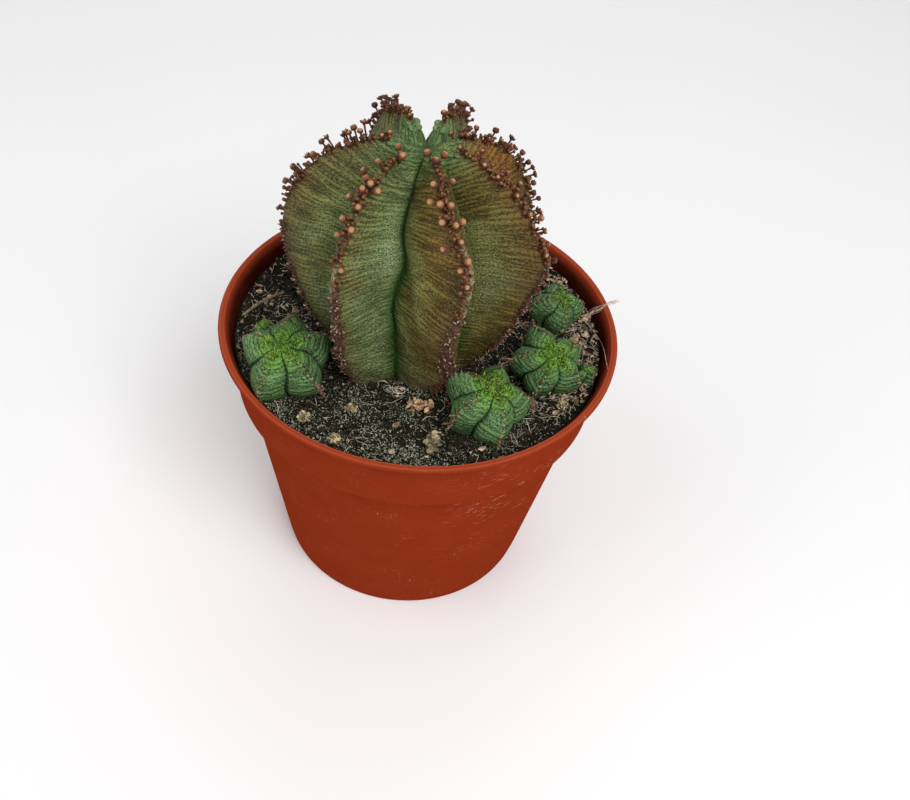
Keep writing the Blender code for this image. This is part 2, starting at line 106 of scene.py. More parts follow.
# azimuth: degrees from -Y towards +X. rise: share of the stem's height. sway, reach and furrow_sway:
# (climb, value) points of the crest's turn in degrees, of its distance out as a share, and of the turn of
# the furrow after it. green_before, green_after: greenness of the flanks on either side of the crest.
Rib = namedtuple("Rib", "name azimuth rise sway reach green_before green_after furrow_sway")
STEM_RIBS = [
    Rib("front_left", -28.0, 1.00,
        [(0.0, -1.0), (0.2, -2.5), (0.45, 0.0), (0.65, -2.0), (0.8, -6.0), (0.92, -9.0), (1.0, -6.0)],
        [(0.0, 1.12), (0.3, 1.0), (1.0, 1.0)], 0.55, 0.86,
        [(0.0, -1.0), (0.3, -2.0), (0.46, -7.0), (0.61, -3.0), (0.7, -6.5), (0.85, -3.0), (1.0, 0.0)]),
    Rib("front_right", 26.0, 1.00,
        [(0.0, 2.0), (0.1, 2.5), (0.2, 2.0), (0.3, -3.0), (0.4, -5.0), (0.5, -1.5), (0.6, 1.5), (0.8, -5.0),
         (0.9, -4.2), (1.0, -1.4)],
        [(0.0, 1.10), (0.3, 1.0), (1.0, 1.0)], 0.14, 0.12,
        [(0.0, 1.0), (0.35, 3.0), (0.6, 0.0), (1.0, 0.0)]),
    Rib("right", 66.0, 1.00,
        [(0.0, 0.0), (0.3, 1.0), (0.6, -1.2), (1.0, 1.0)],
        [(0.0, 0.96), (0.35, 0.98), (0.58, 1.04), (0.8, 0.99), (1.0, 0.98)], 0.02, 0.20,
        [(0.0, 2.0), (0.5, -2.0), (1.0, 0.0)]),
    Rib("back_right", 112.0, 1.00,
        [(0.0, 1.5), (0.35, 0.0), (0.7, -1.5), (1.0, 1.5)],
        [(0.0, 0.86), (1.0, 0.86)], 0.02, 0.40,
        [(0.0, -2.0), (0.5, 2.0), (1.0, 0.0)]),
    Rib("back", 160.0, 1.02,
        [(0.0, 1.5), (0.3, -2.0), (0.7, 1.5), (1.0, -1.0)],
        [(0.0, 0.85), (1.0, 0.85)], 0.55, 0.55,
        [(0.0, 2.0), (0.45, -2.5), (1.0, 1.0)]),
    Rib("back_left", 215.0, 1.02,
        [(0.0, 1.0), (0.3, 0.5), (0.65, -1.8), (1.0, 1.5)],
        [(0.0, 0.88), (1.0, 0.88)], 0.58, 0.70,
        [(0.0, -2.0), (0.4, 2.0), (0.8, -1.5), (1.0, 0.0)]),
    Rib("left", 278.0, 1.00,
        [(0.0, 2.0), (0.35, -1.5), (0.75, 1.0), (1.0, 1.0)],
        [(0.0, 0.99), (1.0, 0.99)], 0.50, 0.54,
        [(0.0, 2.0), (0.4, -2.0), (0.8, 1.0), (1.0, 0.0)]),
]

# Smooth pale margins along a crest: (rib, side, climb from, climb to)
STEM_MARGINS = [(0, -1, 0.46, 0.62), (1, 1, 0.42, 0.72)]
# Pale, speckled places: (rib, across from the crest, climb, reach across, reach along, strength)
STEM_FROST = [
    (0, 0.72, 0.66, 0.24, 0.13, 1.0), (0, 0.55, 0.20, 0.35, 0.14, 0.5), (1, -0.55, 0.12, 0.35, 0.08, 0.4),
    (0, -0.45, 0.74, 0.25, 0.08, 0.7), (1, 0.45, 0.76, 0.25, 0.07, 0.6), (2, -0.55, 0.52, 0.25, 0.10, 0.4),
    (0, -0.60, 0.26, 0.40, 0.16, 0.7), (6, 0.55, 0.26, 0.40, 0.16, 0.6),
]
# Rusty places, in the same terms.
STEM_RUST = [
    (3, -0.35, 0.78, 0.40, 0.14, 1.0), (2, 0.35, 0.80, 0.35, 0.12, 0.8), (1, -0.35, 0.70, 0.30, 0.12, 0.4),
]
# Rows up a body, and columns across each flank, of the main stem, the offsets and the smallest ones.
STEM_GRID, OFFSET_GRID, BUD_GRID = (330, 20), (130, 16), (60, 12)
BAND_SPACING = 1.45  # between the fine bands across a flank
BAND_SLANT = 0.42  # how far the bands climb towards the furrow, for each mm across the flank
KNOB_SPACING = 4.3  # between the knobs along a crest
BAND_RELIEF, LUMP_RELIEF, KNOB_RELIEF = 0.07, 0.28, 0.42  # mm
APEX_CLIMBS = (0.955, 0.978)  # where the young segments stand
NOISE_APART = 61.0  # keeps one rib's skin noise clear of the next one's

# Skin colours of the main stem.
OLIVE = (0.134, 0.103, 0.022)
LEAF = (0.138, 0.186, 0.064)
BROWN = (0.120, 0.060, 0.018)
MARGIN = (0.34, 0.275, 0.150)
FRESH = (0.125, 0.215, 0.075)
FROSTED = (0.190, 0.250, 0.120)
RUST = (0.270, 0.108, 0.018)
# painted shade for the deepest part of the furrows
FURROW_SHADE = (0.012, 0.048, 0.006)
FURROW_SIDE = (0.024, 0.098, 0.010)
SCAR = (0.055, 0.018, 0.014)
FOOT_PALE = (0.17, 0.15, 0.085)

# Flower heads on each crest: (climb, sideways in mm towards the next rib, stalk in mm).
BUDS = {
    "front_left": [
        (0.945, -1.6, 2.6), (0.93, 1.6, 2.2), (0.875, -1.4, 2.4), (0.835, -2.8, 2.6), (0.825, -1.4, 1.8),
        (0.815, 1.2, 2.6), (0.81, 3.6, 2.0), (0.795, 0.2, 2.4), (0.765, -1.8, 2.4), (0.755, 1.6, 2.0),
        (0.715, -1.2, 2.6), (0.70, 1.4, 1.4), (0.675, -1.6, 2.2), (0.60, 2.0, 1.8),
    ],
    "front_right": [
        (0.97, -1.2, 2.2), (0.935, 0.0, 2.2), (0.95, 2.6, 2.4), (0.855, -2.4, 2.4), (0.86, 2.4, 2.4),
        (0.81, -4.0, 2.2), (0.80, -1.8, 2.6), (0.795, 0.8, 2.4), (0.76, -2.2, 2.0), (0.75, 0.8, 2.2),
        (0.755, 2.6, 2.6), (0.71, 0.6, 2.4), (0.70, -4.2, 2.2), (0.665, 0.6, 2.4), (0.645, -1.8, 2.0),
        (0.60, -0.6, 1.8),
    ],
    "right": [
        (0.95, -0.8, 2.4), (0.90, 1.4, 2.8), (0.875, -1.4, 2.2), (0.83, -1.6, 2.2), (0.82, 1.4, 2.2),
        (0.78, 1.2, 2.6), (0.765, -1.6, 2.2), (0.75, 1.6, 2.4), (0.71, -1.0, 2.2), (0.70, 1.8, 4.6),
        (0.69, 0.2, 5.6), (0.655, 0.8, 2.4), (0.62, 1.0, 3.4), (0.60, -0.8, 2.2), (0.575, 1.2, 3.0),
    ],
    "back_right": [
        (0.97, 0.8, 2.6), (0.93, -1.2, 2.8), (0.90, 0.6, 3.4), (0.84, 1.2, 4.0), (0.82, -1.0, 3.0),
        (0.785, 1.2, 3.8), (0.77, -0.6, 3.0), (0.73, 1.0, 3.6), (0.71, -1.4, 3.0), (0.67, 0.8, 4.2),
        (0.66, -1.0, 3.2), (0.62, 0.6, 3.4), (0.60, -1.2, 2.8), (0.56, 0.6, 4.4), (0.53, -0.6, 2.8),
    ],
    "back": [
        (0.94, 0.4, 2.6), (0.90, -0.8, 3.2), (0.87, 1.0, 3.8), (0.85, -1.2, 4.4), (0.83, 0.6, 4.4),
        (0.81, -1.0, 4.2), (0.79, 1.2, 4.6), (0.77, -0.4, 4.2), (0.75, 1.0, 3.8), (0.73, -1.2, 4.4),
        (0.71, 0.4, 4.0), (0.66, -0.6, 3.0), (0.62, 0.8, 2.8), (0.55, -0.6, 2.6), (0.50, 0.8, 2.4),
    ],
    "back_left": [
        (0.95, 0.6, 2.0), (0.91, -0.6, 2.4), (0.86, 0.2, 5.2), (0.82, -1.0, 3.2), (0.80, 0.8, 3.6),
        (0.78, -1.0, 3.2), (0.76, 0.6, 4.0), (0.74, -0.8, 3.4), (0.72, 1.2, 3.8), (0.70, -1.2, 3.4),
        (0.68, 0.2, 3.0), (0.64, 1.0, 3.2), (0.60, -0.8, 2.8), (0.54, 0.8, 2.8),
    ],
    "left": [
        (0.95, -0.4, 3.2), (0.93, 1.2, 2.2), (0.89, -1.0, 5.2), (0.88, 0.8, 4.8), (0.865, -1.6, 4.2),
        (0.855, 1.6, 4.6), (0.845, 0.0, 5.4), (0.835, -1.2, 3.2), (0.80, 0.6, 5.0), (0.78, -1.0, 3.4),
        (0.75, 0.8, 4.4), (0.73, -0.6, 3.0), (0.69, 0.8, 4.0), (0.68, -0.8, 2.8), (0.64, 0.2, 3.8),
    ],
}
FLOWER_SIDE = {"front_left": 0.9, "front_right": -1.4}  # mm off the crest's middle
DRIED_FROM, DRIED_TO = 0.50, 0.95  # climb between which small dried remains stand among the heads
STUBS_FROM, STUBS_TO = 0.05, 0.50  # climb between which the crest is studded with dry stubs
DRIED_COUNT = 70
STUBS_COUNT = 200
BUD_RADIUS = 1.0
BACK_BUDS = 0.86  # size of a head behind, as a share of one in front
RAGGED_BUDS = 0.74  # size of a ragged head, as a share of a whole one
RAGGED_SHARE = 0.6  # how many of the heads behind are ragged
STALK_RADIUS = 0.27

# azimuths: of the ribs. lean, towards: degrees, and the way it leans. growth: of the whole offset.
# shift: of its foot, mm. fresh: share of young colour in the middle.
Offset = namedtuple("Offset", "name azimuths lean towards growth shift fresh")
OFFSETS = [
    Offset("left", (-28, 56, 118, 182, 244), 21.0, -14.0, 1.17, (0.6, 0.2), 0.9),
    Offset("front_right", (-48, 28, 100, 178, 248), 16.0, 60.0, 1.10, (-2.8, 0.3), 1.0),
    Offset("right", (-78, -8, 62, 136, 212), 25.0, 30.0, 1.17, (-1.6, 0.0), 1.0),
    Offset("back_right", (-72, 19, 108, 198), 16.0, 60.0, 1.12, (-2.2, -1.6), 0.3),
    Offset("rim", (30, 120, 210, 300), 8.0, 60.0, 1.12, (-0.6, -1.2), 0.3),
    Offset("bud", (10, 100, 190, 280), 8.0, -60.0, 1.0, (0.0, 0.0), 0.8),
]
OFFSET_ROOT_DEPTH = 2.6
OFFSET_SWAY = 5.0
OFFSET_FURROW_SWAY = [(0.0, 2.0), (0.45, -5.0), (0.75, 6.0), (1.0, 0.0)]
STRAIGHT = [(0.0, 1.0), (1.0, 1.0)]
TOOTH_SPACING, TOOTH_RELIEF = 1.5, 0.42
OFFSET_BAND_SPACING, OFFSET_BAND_RELIEF, OFFSET_LUMP_RELIEF = 1.25, 0.07, 0.15
DRIED_TIPS = {"left": (1, 3), "front_right": (0, 2), "right": (0, 4)}  # ribs that end in dry stalks
DRIED_TIP_STALKS = 7
DRIED_TIP_FROM, DRIED_TIP_TO = 0.36, 0.56  # climb
TIP_FROM = 0.62  # climb above which the young leaflets stand
BRISTLES_FROM, BRISTLES_TO = 0.22, 0.82  # climb
OFFSET_LEAF = (0.084, 0.158, 0.048)
OFFSET_COOL = (0.060, 0.126, 0.052)
OFFSET_CENTRE = (0.075, 0.172, 0.014)
# painted shade for the deepest part of an offset's furrows
OFFSET_FURROW_SHADE = (0.008, 0.040, 0.010)
OFFSET_EDGE = (0.20, 0.20, 0.10)
OFFSET_CREST = [
    (0.74, 0.02), (0.93, 0.28), (1.00, 0.52), (0.90, 0.75), (0.62, 0.92), (0.30, 0.99), (0.12, 0.985),
]
OFFSET_FURROW = [
    (0.56, 0.02), (0.68, 0.28), (0.71, 0.50), (0.61, 0.72), (0.40, 0.88), (0.15, 0.965), (0.03, 0.95),
]

# Litter on the soil: how many of each, then where.
CRUMBS, SAND_GRAINS, FIBRES, CHIPS, CURLS = 1500, 8500, 760, 620, 14
GRIT_FLAKES, BARK_FLAKES = 46, 26  # in each clump
DARK_SOIL = [(7.4, -36.6), (-19.4, -23.5), (15.0, -41.0)]  # bare, damp places
DARK_SOIL_REACH = (5.0, 5.5)
BARK_CHIPS = {"bark_chip_front": (0.6, 2.4, 0.0), "bark_chip_right": (0.0, 0.0, 0.0)}  # with their shifts
GRIT = ["grit_front", "grit_front_left", "grit_left", "grit_middle", "grit_right"]
CURLS_MIDDLE = (-4.8, -27.2, SOIL_TOP + 0.5)
# Root hairs: (CAD node, how many, radius in mm, how far they stray in mm, places they pass through)
ROOTS = [
    ("root_strands_rim", 12, 0.085, 1.0,
     [(50.5, 15.4, 87.3), (54.3, 15.9, 90.6), (57.0, 16.8, 92.5), (60.3, 18.4, 92.7)]),
    ("root_strand_right", 2, 0.075, 0.5,
     [(50.0, 14.0, 87.4), (51.8, 8.6, 89.4), (55.0, -2.0, 92.3), (57.0, -12.6, 92.6)]),
    ("root_strand_back", 2, 0.07, 0.4, [(36.6, 31.9, 99.0), (37.4, 31.3, 93.0), (38.9, 29.6, 86.8)]),
]
# Skins: share of the tint in dark and light places, what the pale specks add, roughness
STEM_SKIN = (0.24, 1.62, (0.085, 0.095, 0.055), 0.6)
OFFSET_SKIN = (0.16, 2.3, (0.080, 0.110, 0.060), 0.55)
# Dry surfaces: dark tone, light tone, noise scale, roughness
LITTER = {
    "peat_crumbs": ((0.010, 0.007, 0.005), (0.050, 0.032, 0.020), 1.2, 0.9),
    "pale_sand": ((0.15, 0.165, 0.105), (0.58, 0.60, 0.46), 2.0, 0.9),
    "dry_fibre": ((0.26, 0.19, 0.12), (0.74, 0.65, 0.50), 1.0, 0.9),
    "dry_chips": ((0.15, 0.080, 0.04), (0.62, 0.46, 0.31), 0.9, 0.9),
    "tan_grit": ((0.11, 0.070, 0.026), (0.72, 0.60, 0.36), 1.3, 0.9),
    "bark_flakes": ((0.17, 0.075, 0.030), (0.78, 0.52, 0.30), 0.8, 0.9),
    "twig_wood": ((0.08, 0.05, 0.03), (0.33, 0.24, 0.14), 0.9, 0.9),
    "root_hair": ((0.38, 0.22, 0.15), (0.85, 0.66, 0.54), 0.8, 0.6),
    "bare_root": ((0.34, 0.26, 0.18), (0.80, 0.72, 0.60), 0.8, 0.6),
    "young_segments": ((0.055, 0.105, 0.036), (0.15, 0.23, 0.095), 1.3, 0.6),
    "growing_tip": ((0.048, 0.135, 0.010), (0.27, 0.40, 0.07), 1.2, 0.6),
}

# Studio: (name, place, energy, size) of the lights, and the even light from all round.
LIGHTS = [
    ("key_light", (0.40, -0.60, 0.95), 8.6, 0.6),
    ("fill_light", (-0.8, -0.35, 0.75), 2.8, 0.9),
    ("back_light", (0.0, 0.9, 0.8), 2.2, 0.9),
]
LIGHTS_AIM = (0.0, 0.0, 0.08)
WORLD_STRENGTH = 0.42
FLOOR_REACH = 9.0

# Camera: where it stands, how far it looks down, and how far it is rolled.
CAMERA_PLACE = (0.01342, -0.22587, 0.29378)
CAMERA_DIP = 0.80709
CAMERA_ROLL = 0.13014
CAMERA_LENS = 39.55
SENSOR_WIDTH = 36.0
CAMERA_CLIP = (0.01, 20.0)


# ---------------------------------------------------------------- shapes


def ease(at, points):
    """Smooth steps through (place, value) points."""
    at = np.asarray(at, float)
    made = np.full(at.shape, float(points[0][1]))
    for (start, low), (end, high) in zip(points, points[1:]):
        share = np.clip((at - start) / (end - start), 0, 1)
        made = np.where(at >= start, low + (high - low) * share * share * (3 - 2 * share), made)
    return made


def step(low, high, at):
    """0 below low, 1 above high, smooth between."""
    share = np.clip((np.asarray(at, float) - low) / (high - low), 0, 1)
    return share * share * (3 - 2 * share)


def unit(vector):
    return vector / np.linalg.norm(vector)


def ring_angles(sides):
    return np.linspace(0, 2 * pi, sides, endpoint=False)


def curve_through(points, count):
    """Evenly spaced points along a Catmull-Rom curve through the given points."""
    points = np.asarray(points, float)
    ends = np.vstack([2 * points[0] - points[1], points, 2 * points[-1] - points[-2]])
    t = np.linspace(0, 1, 24, endpoint=False)[:, None]
    dense = []
    for before, start, end, after in zip(ends, ends[1:], ends[2:], ends[3:]):
        dense.append(0.5 * (
            2 * start + (end - before) * t + (2 * before - 5 * start + 4 * end - after) * t**2
            + (3 * start - before - 3 * end + after) * t**3
        ))
    dense = np.vstack(dense + [points[-1:]])
    reached = np.concatenate([[0], np.cumsum(np.linalg.norm(np.diff(dense, axis=0), axis=1))])
    wanted = np.linspace(0, reached[-1], count)
    return np.column_stack([np.interp(wanted, reached, column) for column in dense.T])


def noise_at(points, scale, seed=0.0, octaves=3):
    """Fractal noise, about -1 to 1, at points in millimetres; scale is the size of a lump in mm."""
    shift = Vector((seed, seed * 1.7, -seed))
    return np.array([
        noise.fractal(Vector(point) / scale + shift, 0.9, 2.1, octaves) for point in np.asarray(points)
    ])


def corners_of(name):
    """The low and high corners of a CAD node's box, in millimetres."""
    low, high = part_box(name)
    return np.array(low) / MM, np.array(high) / MM


def middle_and_half(name):
    low, high = corners_of(name)
    return (low + high) / 2, (high - low) / 2


def make_mesh(name, points, faces):
    """A mesh from points in millimetres, with its faces turned outwards."""
    mesh = bpy.data.meshes.new(name)
    mesh.from_pydata((np.asarray(points) * MM).tolist(), [], faces)
    shape = bmesh.new()
    shape.from_mesh(mesh)
    bmesh.ops.recalc_face_normals(shape, faces=shape.faces)
    shape.to_mesh(mesh)
    shape.free()
    return mesh


def add_object(name, data):
    made = bpy.data.objects.new(name, data)
    bpy.context.scene.collection.objects.link(made)
    return made


class Builder:
    """Collects points in mm, faces and per-point values, and makes one object of them."""

    def __init__(self):
        self.points = []
        self.faces = []
        self.values = {}
        self.count = 0

    def add(self, points, faces, **values):
        points = np.asarray(points, float)
        self.points.append(points)
        self.faces.extend([tuple(corner + self.count for corner in face) for face in faces])
        for name, value in values.items():
            value = np.asarray(value, float)
            shape = (len(points), 3) if value.ndim == 2 else (len(points),)
            self.values.setdefault(name, []).append(np.broadcast_to(value, shape))
        self.count += len(points)

    def build(self, name, surface, slot, replaced=(), place=None, smooth=True):
        mesh = make_mesh(name, np.vstack(self.points), self.faces)
        for label, chunks in self.values.items():
            value = np.concatenate(chunks)
            kind, key = ("FLOAT_VECTOR", "vector") if value.ndim == 2 else ("FLOAT", "value")
            layer = mesh.attributes.new(label, kind, "POINT")
            layer.data.foreach_set(key, value.astype(np.float32).ravel())
        if smooth:
            mesh.shade_smooth()
        mesh.materials.append(surface)
        obj = add_object(name, mesh)
        if place is not None:
            obj.matrix_world = place
        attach(obj, "root")
        if replaced:
            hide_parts(*replaced)
        return obj


def grid_faces(rows, columns, first_cap=None, last_cap=None):
    """Faces of a tube of rings, closed by a point at each end if those are given."""
    faces = []
    for row in range(rows - 1):
        base = row * columns
        for column in range(columns):
            beside = (column + 1) % columns
            faces.append((base + column, base + beside, base + columns + beside, base + columns + column))
    last = (rows - 1) * columns
    for column in range(columns):
        beside = (column + 1) % columns
        if first_cap is not None:
            faces.append((beside, column, first_cap))
        if last_cap is not None:
            faces.append((last + column, last + beside, last_cap))
    return faces


ASKEW = (0.31, 0.42, 0.85)  # a direction that few paths follow


def tube(path, radii, sides):
    """Points and faces of a closed tube along a path."""
    path = np.asarray(path, float)
    radii = np.broadcast_to(np.asarray(radii, float), (len(path),))
    along = np.gradient(path, axis=0)
    along /= np.linalg.norm(along, axis=1)[:, None] + 1e-9
    across = np.cross(along, ASKEW)
    across /= np.linalg.norm(across, axis=1)[:, None] + 1e-9
    over = np.cross(across, along)
    angles = ring_angles(sides)
    ring = np.cos(angles)[None, :, None] * across[:, None] + np.sin(angles)[None, :, None] * over[:, None]
    points = (path[:, None] + radii[:, None, None] * ring).reshape(-1, 3)
    tips = [path[0] - along[0] * radii[0] * 0.6, path[-1] + along[-1] * radii[-1] * 0.6]
    points = np.vstack([points, tips])
    return points, grid_faces(len(path), sides, len(points) - 2, len(points) - 1)


def ball(middle, axis, radius, rows=7, sides=10, squash=1.0):
    """Points, faces and the share along the axis (-1 to 1) of a round head."""
    axis = unit(np.asarray(axis, float))
    across = unit(np.cross(axis, ASKEW))
    over = np.cross(across, axis)
    up = np.cos(np.linspace(pi, 0, rows + 2)[1:-1])
    wide = np.sqrt(1 - up**2)
    angles = ring_angles(sides)
    ring = np.cos(angles)[None, :, None] * across + np.sin(angles)[None, :, None] * over
    points = wide[:, None, None] * ring + up[:, None, None] * axis * squash
    points = np.vstack([points.reshape(-1, 3), [-axis * squash, axis * squash]])
    share = np.concatenate([np.repeat(up, sides), [-1.0, 1.0]])
    faces = grid_faces(rows, sides, len(points) - 2, len(points) - 1)
    return np.asarray(middle) + radius * points, faces, share


# ---------------------------------------------------------------- materials


class Surface:
    """A Principled material with a short way to add its nodes."""

    def __init__(self, name, roughness=0.6, **sockets):
        self.material = bpy.data.materials.new(name)
        self.material.use_nodes = True
        self.tree = self.material.node_tree
        self.shader = self.tree.nodes["Principled BSDF"]
        self.shader.inputs["Roughness"].default_value = roughness
        for socket, value in sockets.items():
            self.shader.inputs[socket.replace("_", " ")].default_value = value

    def node(self, kind, links=None, **settings):
        made = self.tree.nodes.new("ShaderNode" + kind)
        for key, value in settings.items():
            setattr(made, key, value)
        for key, value in (links or {}).items():
            if isinstance(value, bpy.types.NodeSocket):
                self.tree.links.new(value, made.inputs[key])
            else:
                made.inputs[key].default_value = value
        return made

    def math(self, operation, first, second=0.0, clamp=False):
        made = self.node("Math", {0: first, 1: second}, operation=operation)
        made.use_clamp = clamp
        return made.outputs[0]

    def times(self, first, second):
        return self.math("MULTIPLY", first, second)

    def plus(self, first, second, clamp=False):
        return self.math("ADD", first, second, clamp)

    def value(self, name):
        return self.node("Attribute", attribute_name=name).outputs["Fac"]

    def vector(self, name):
        return self.node("Attribute", attribute_name=name).outputs["Vector"]

    def place(self):
        """Position on the piece, in millimetres."""
        where = self.node("TexCoord").outputs["Object"]
        return self.node("VectorMath", {0: where, "Scale": 1 / MM}, operation="SCALE").outputs[0]

    def noise(self, vector, scale=1.0, detail=2.0, roughness=0.5):
        links = {"Vector": vector, "Scale": scale, "Detail": detail, "Roughness": roughness}
        return self.node("TexNoise", links).outputs["Fac"]

    def drawn_noise(self, vector, across, along, detail=2.0, roughness=0.5):
        """Noise with its own scale in each of a vector's first two directions."""
        links = {0: vector, 1: (across, along, 1.0)}
        drawn = self.node("VectorMath", links, operation="MULTIPLY").outputs[0]
        return self.noise(drawn, 1.0, detail, roughness)

    def range(self, value, low, high, to_low=0.0, to_high=1.0):
        links = {"Value": value, "From Min": low, "From Max": high, "To Min": to_low, "To Max": to_high}
        return self.node("MapRange", links, interpolation_type="SMOOTHSTEP").outputs[0]

    def mix(self, share, first, second):
        made = self.node("Mix", data_type="RGBA")
        for index, value in ((0, share), (6, first), (7, second)):
            if isinstance(value, bpy.types.NodeSocket):
                self.tree.links.new(value, made.inputs[index])
            elif index == 0:
                made.inputs[index].default_value = value
            else:
                made.inputs[index].default_value = (*value, 1.0)
        return made.outputs[2]

    def scale(self, colour, by):
        return self.node("VectorMath", {0: colour, "Scale": by}, operation="SCALE").outputs[0]

    def colour(self, socket):
        self.tree.links.new(socket, self.shader.inputs["Base Color"])

    def rough(self, socket):
        self.tree.links.new(socket, self.shader.inputs["Roughness"])

    def bump(self, height, depth, strength=1.0):
        """depth is the relief in millimetres."""
        links = {"Height": height, "Distance": depth * MM, "Strength": strength}
        self.tree.links.new(self.node("Bump", links).outputs[0], self.shader.inputs["Normal"])


def pot_plastic():
    """Brick-red moulded plastic, faintly mottled, with pale scuffs and hairline scratches, a painted
    highlight along the lip and painted shade inside, with some staining by the peat.
    """
    made = Surface("pot_plastic", 0.55, Specular_IOR_Level=0.0)
    wall = made.vector("wall")
    mottle = made.noise(wall, 0.09, 3.0)
    fine = made.noise(wall, 1.4, 4.0, 0.6)
    base = made.mix(mottle, (0.228, 0.0265, 0.0080), (0.290, 0.0370, 0.0115))
    base = made.mix(made.range(fine, 0.5, 0.75, 0.0, 0.12), base, (0.42, 0.075, 0.03))
    streak = made.drawn_noise(wall, 0.22, 1.7, 5.0, 0.62)
    patch = made.noise(wall, 0.075, 2.0)
    scuff = made.times(made.range(streak, 0.585, 0.65), made.range(patch, 0.43, 0.56))
    scuff = made.times(scuff, made.value("scuff"))
    hair = made.drawn_noise(wall, 0.35, 0.11, 1.0)
    line = made.math("ABSOLUTE", made.math("SUBTRACT", hair, 0.5))
    line = made.times(made.range(line, 0.0, 0.0035, 1.0, 0.0), made.range(patch, 0.55, 0.65))
    worn = made.math("MAXIMUM", made.times(scuff, 0.70), made.times(line, 0.30))
    # painted highlight: the top of the lip is painted lighter
    base = made.mix(made.times(made.value("lip"), 0.45), base, (0.50, 0.100, 0.045))
    base = made.mix(worn, base, (0.74, 0.40, 0.27))
    # painted shade with some peat staining: the inner wall is painted near-black from just under the lip
    dirt_and_shade = made.times(made.value("stain"), made.range(mottle, 0.3, 0.6, 0.80, 0.95))
    made.colour(made.mix(dirt_and_shade, base, (0.030, 0.006, 0.004)))
    made.rough(made.plus(made.range(fine, 0.3, 0.7, 0.34, 0.46), made.times(worn, 0.25)))
    made.bump(made.plus(made.times(fine, 0.5), made.times(worn, 0.6)), 0.05)
    return made.material


def skin(name, dark, light, speck, roughness):
    """Succulent skin: the piece's own tint, crossed by fine bands and grain, with pale specks."""
    made = Surface(name, roughness, Specular_IOR_Level=0.18)
    tint = made.vector("tint")
    where = made.vector("skin")
    wobble = made.drawn_noise(where, 0.10, 0.22)
    along = made.node("SeparateXYZ", {0: where}).outputs["Y"]
    along = made.plus(along, made.times(wobble, BAND_SPACING * 2.6))
    stripe = made.math("SINE", made.times(along, 2 * pi / BAND_SPACING))
    stripe = made.plus(made.times(stripe, 0.5), 0.5)
    fade = made.drawn_noise(where, 0.12, 0.35)
    grain = made.drawn_noise(where, 1.5, 2.1, 4.0, 0.85)
    broad = made.drawn_noise(where, 0.13, 0.42, 3.0, 0.55)
    band = made.times(stripe, made.range(fade, 0.34, 0.58, 0.14, 0.72))
    level = made.plus(band, made.range(grain, 0.38, 0.62, -0.44, 0.62))
    level = made.plus(level, made.range(broad, 0.33, 0.67, -0.16, 0.22), clamp=True)
    factor = made.plus(made.times(level, light - dark), dark)
    base = made.scale(tint, factor)
    grit = made.drawn_noise(where, 1.9, 2.3, 3.0, 0.75)
    bloom = made.times(made.range(grit, 0.505, 0.55), made.value("bloom"))
    pale = made.node("VectorMath", {0: made.scale(tint, 2.3), 1: speck}, operation="ADD").outputs[0]
    base = made.mix(bloom, base, pale)
    pitted = made.drawn_noise(where, 1.6, 2.2, 3.0, 0.6)
    pore = made.range(pitted, 0.36, 0.46, 0.75, 0.0)
    made.colour(made.mix(pore, base, (0.012, 0.016, 0.005)))
    made.rough(made.range(grain, 0.3, 0.7, roughness - 0.07, roughness + 0.1))
    relief = made.plus(made.times(stripe, 0.5), made.times(grain, 0.7))
    relief = made.plus(relief, made.times(bloom, 0.3))
    made.bump(relief, 0.16, 0.8)
    return made.material


def bud_surface():
    """Dry flower heads: dark red-brown with a pale, pinkish-tan face."""
    made = Surface("dry_flower", 0.55, Specular_IOR_Level=0.35)
    where = made.place()
    blotch = made.noise(where, 1.1, 3.0)
    body = made.mix(made.range(blotch, 0.3, 0.7), (0.034, 0.009, 0.005), (0.135, 0.040, 0.013))
    body = made.mix(made.value("tone"), body, (0.27, 0.105, 0.040))
    face = made.mix(made.noise(where, 2.4, 2.0), (0.32, 0.135, 0.042), (0.68, 0.37, 0.17))
    face = made.mix(made.value("rose"), face, (0.60, 0.42, 0.34))
    made.colour(made.mix(made.value("face"), body, face))
    made.bump(made.noise(where, 3.0, 3.0), 0.12)
    return made.material


def soil_surface():
    """Near-black peat with brown crumbs and a dusting of pale grit."""
    made = Surface("potting_soil", 0.95, Specular_IOR_Level=0.15)
    where = made.place()
    lump = made.noise(where, 0.35, 4.0, 0.6)
    fine = made.noise(where, 1.9, 4.0, 0.7)
    base = made.mix(made.range(lump, 0.35, 0.7), (0.004, 0.004, 0.002), (0.022, 0.016, 0.008))
    base = made.mix(made.range(fine, 0.55, 0.72, 0.0, 0.7), base, (0.060, 0.045, 0.026))
    dust = made.times(made.range(made.noise(where, 2.6, 2.0), 0.58, 0.66), made.value("dust"))
    made.colour(made.mix(dust, base, (0.16, 0.170, 0.105)))
    made.bump(made.plus(lump, fine), 0.5)
    return made.material


def litter_surface(name):
    """One of the LITTER: two tones in coarse and fine noise, rough all over."""
    dark, light, scale, roughness = LITTER[name]
    made = Surface(name, roughness, Specular_IOR_Level=0.2)
    where = made.place()
    coarse = made.noise(where, scale, 4.0, 0.65)
    fine = made.noise(where, scale * 4.0, 3.0, 0.6)
    mixed = made.plus(made.times(coarse, 0.65), made.times(fine, 0.35))
    base = made.mix(made.range(mixed, 0.36, 0.62), dark, light)
    made.colour(made.scale(base, made.value("tone")))
    made.bump(mixed, 0.3)
    return made.material


def floor_surface():
    made = Surface("studio_floor", 0.7, Specular_IOR_Level=0.2)
    where = made.place()
    made.colour(made.mix(made.noise(where, 0.01, 2.0), (0.93, 0.93, 0.93), (0.95, 0.95, 0.95)))
    return made.material


# ---------------------------------------------------------------- pot


def arc(centre, radius, start, end, count):
    """Points of an arc in the (radius, height) plane, angles in degrees."""
    return [
        (centre[0] + radius * cos(radians(a)), centre[1] + radius * sin(radians(a)))
        for a in np.linspace(start, end, count)
    ]


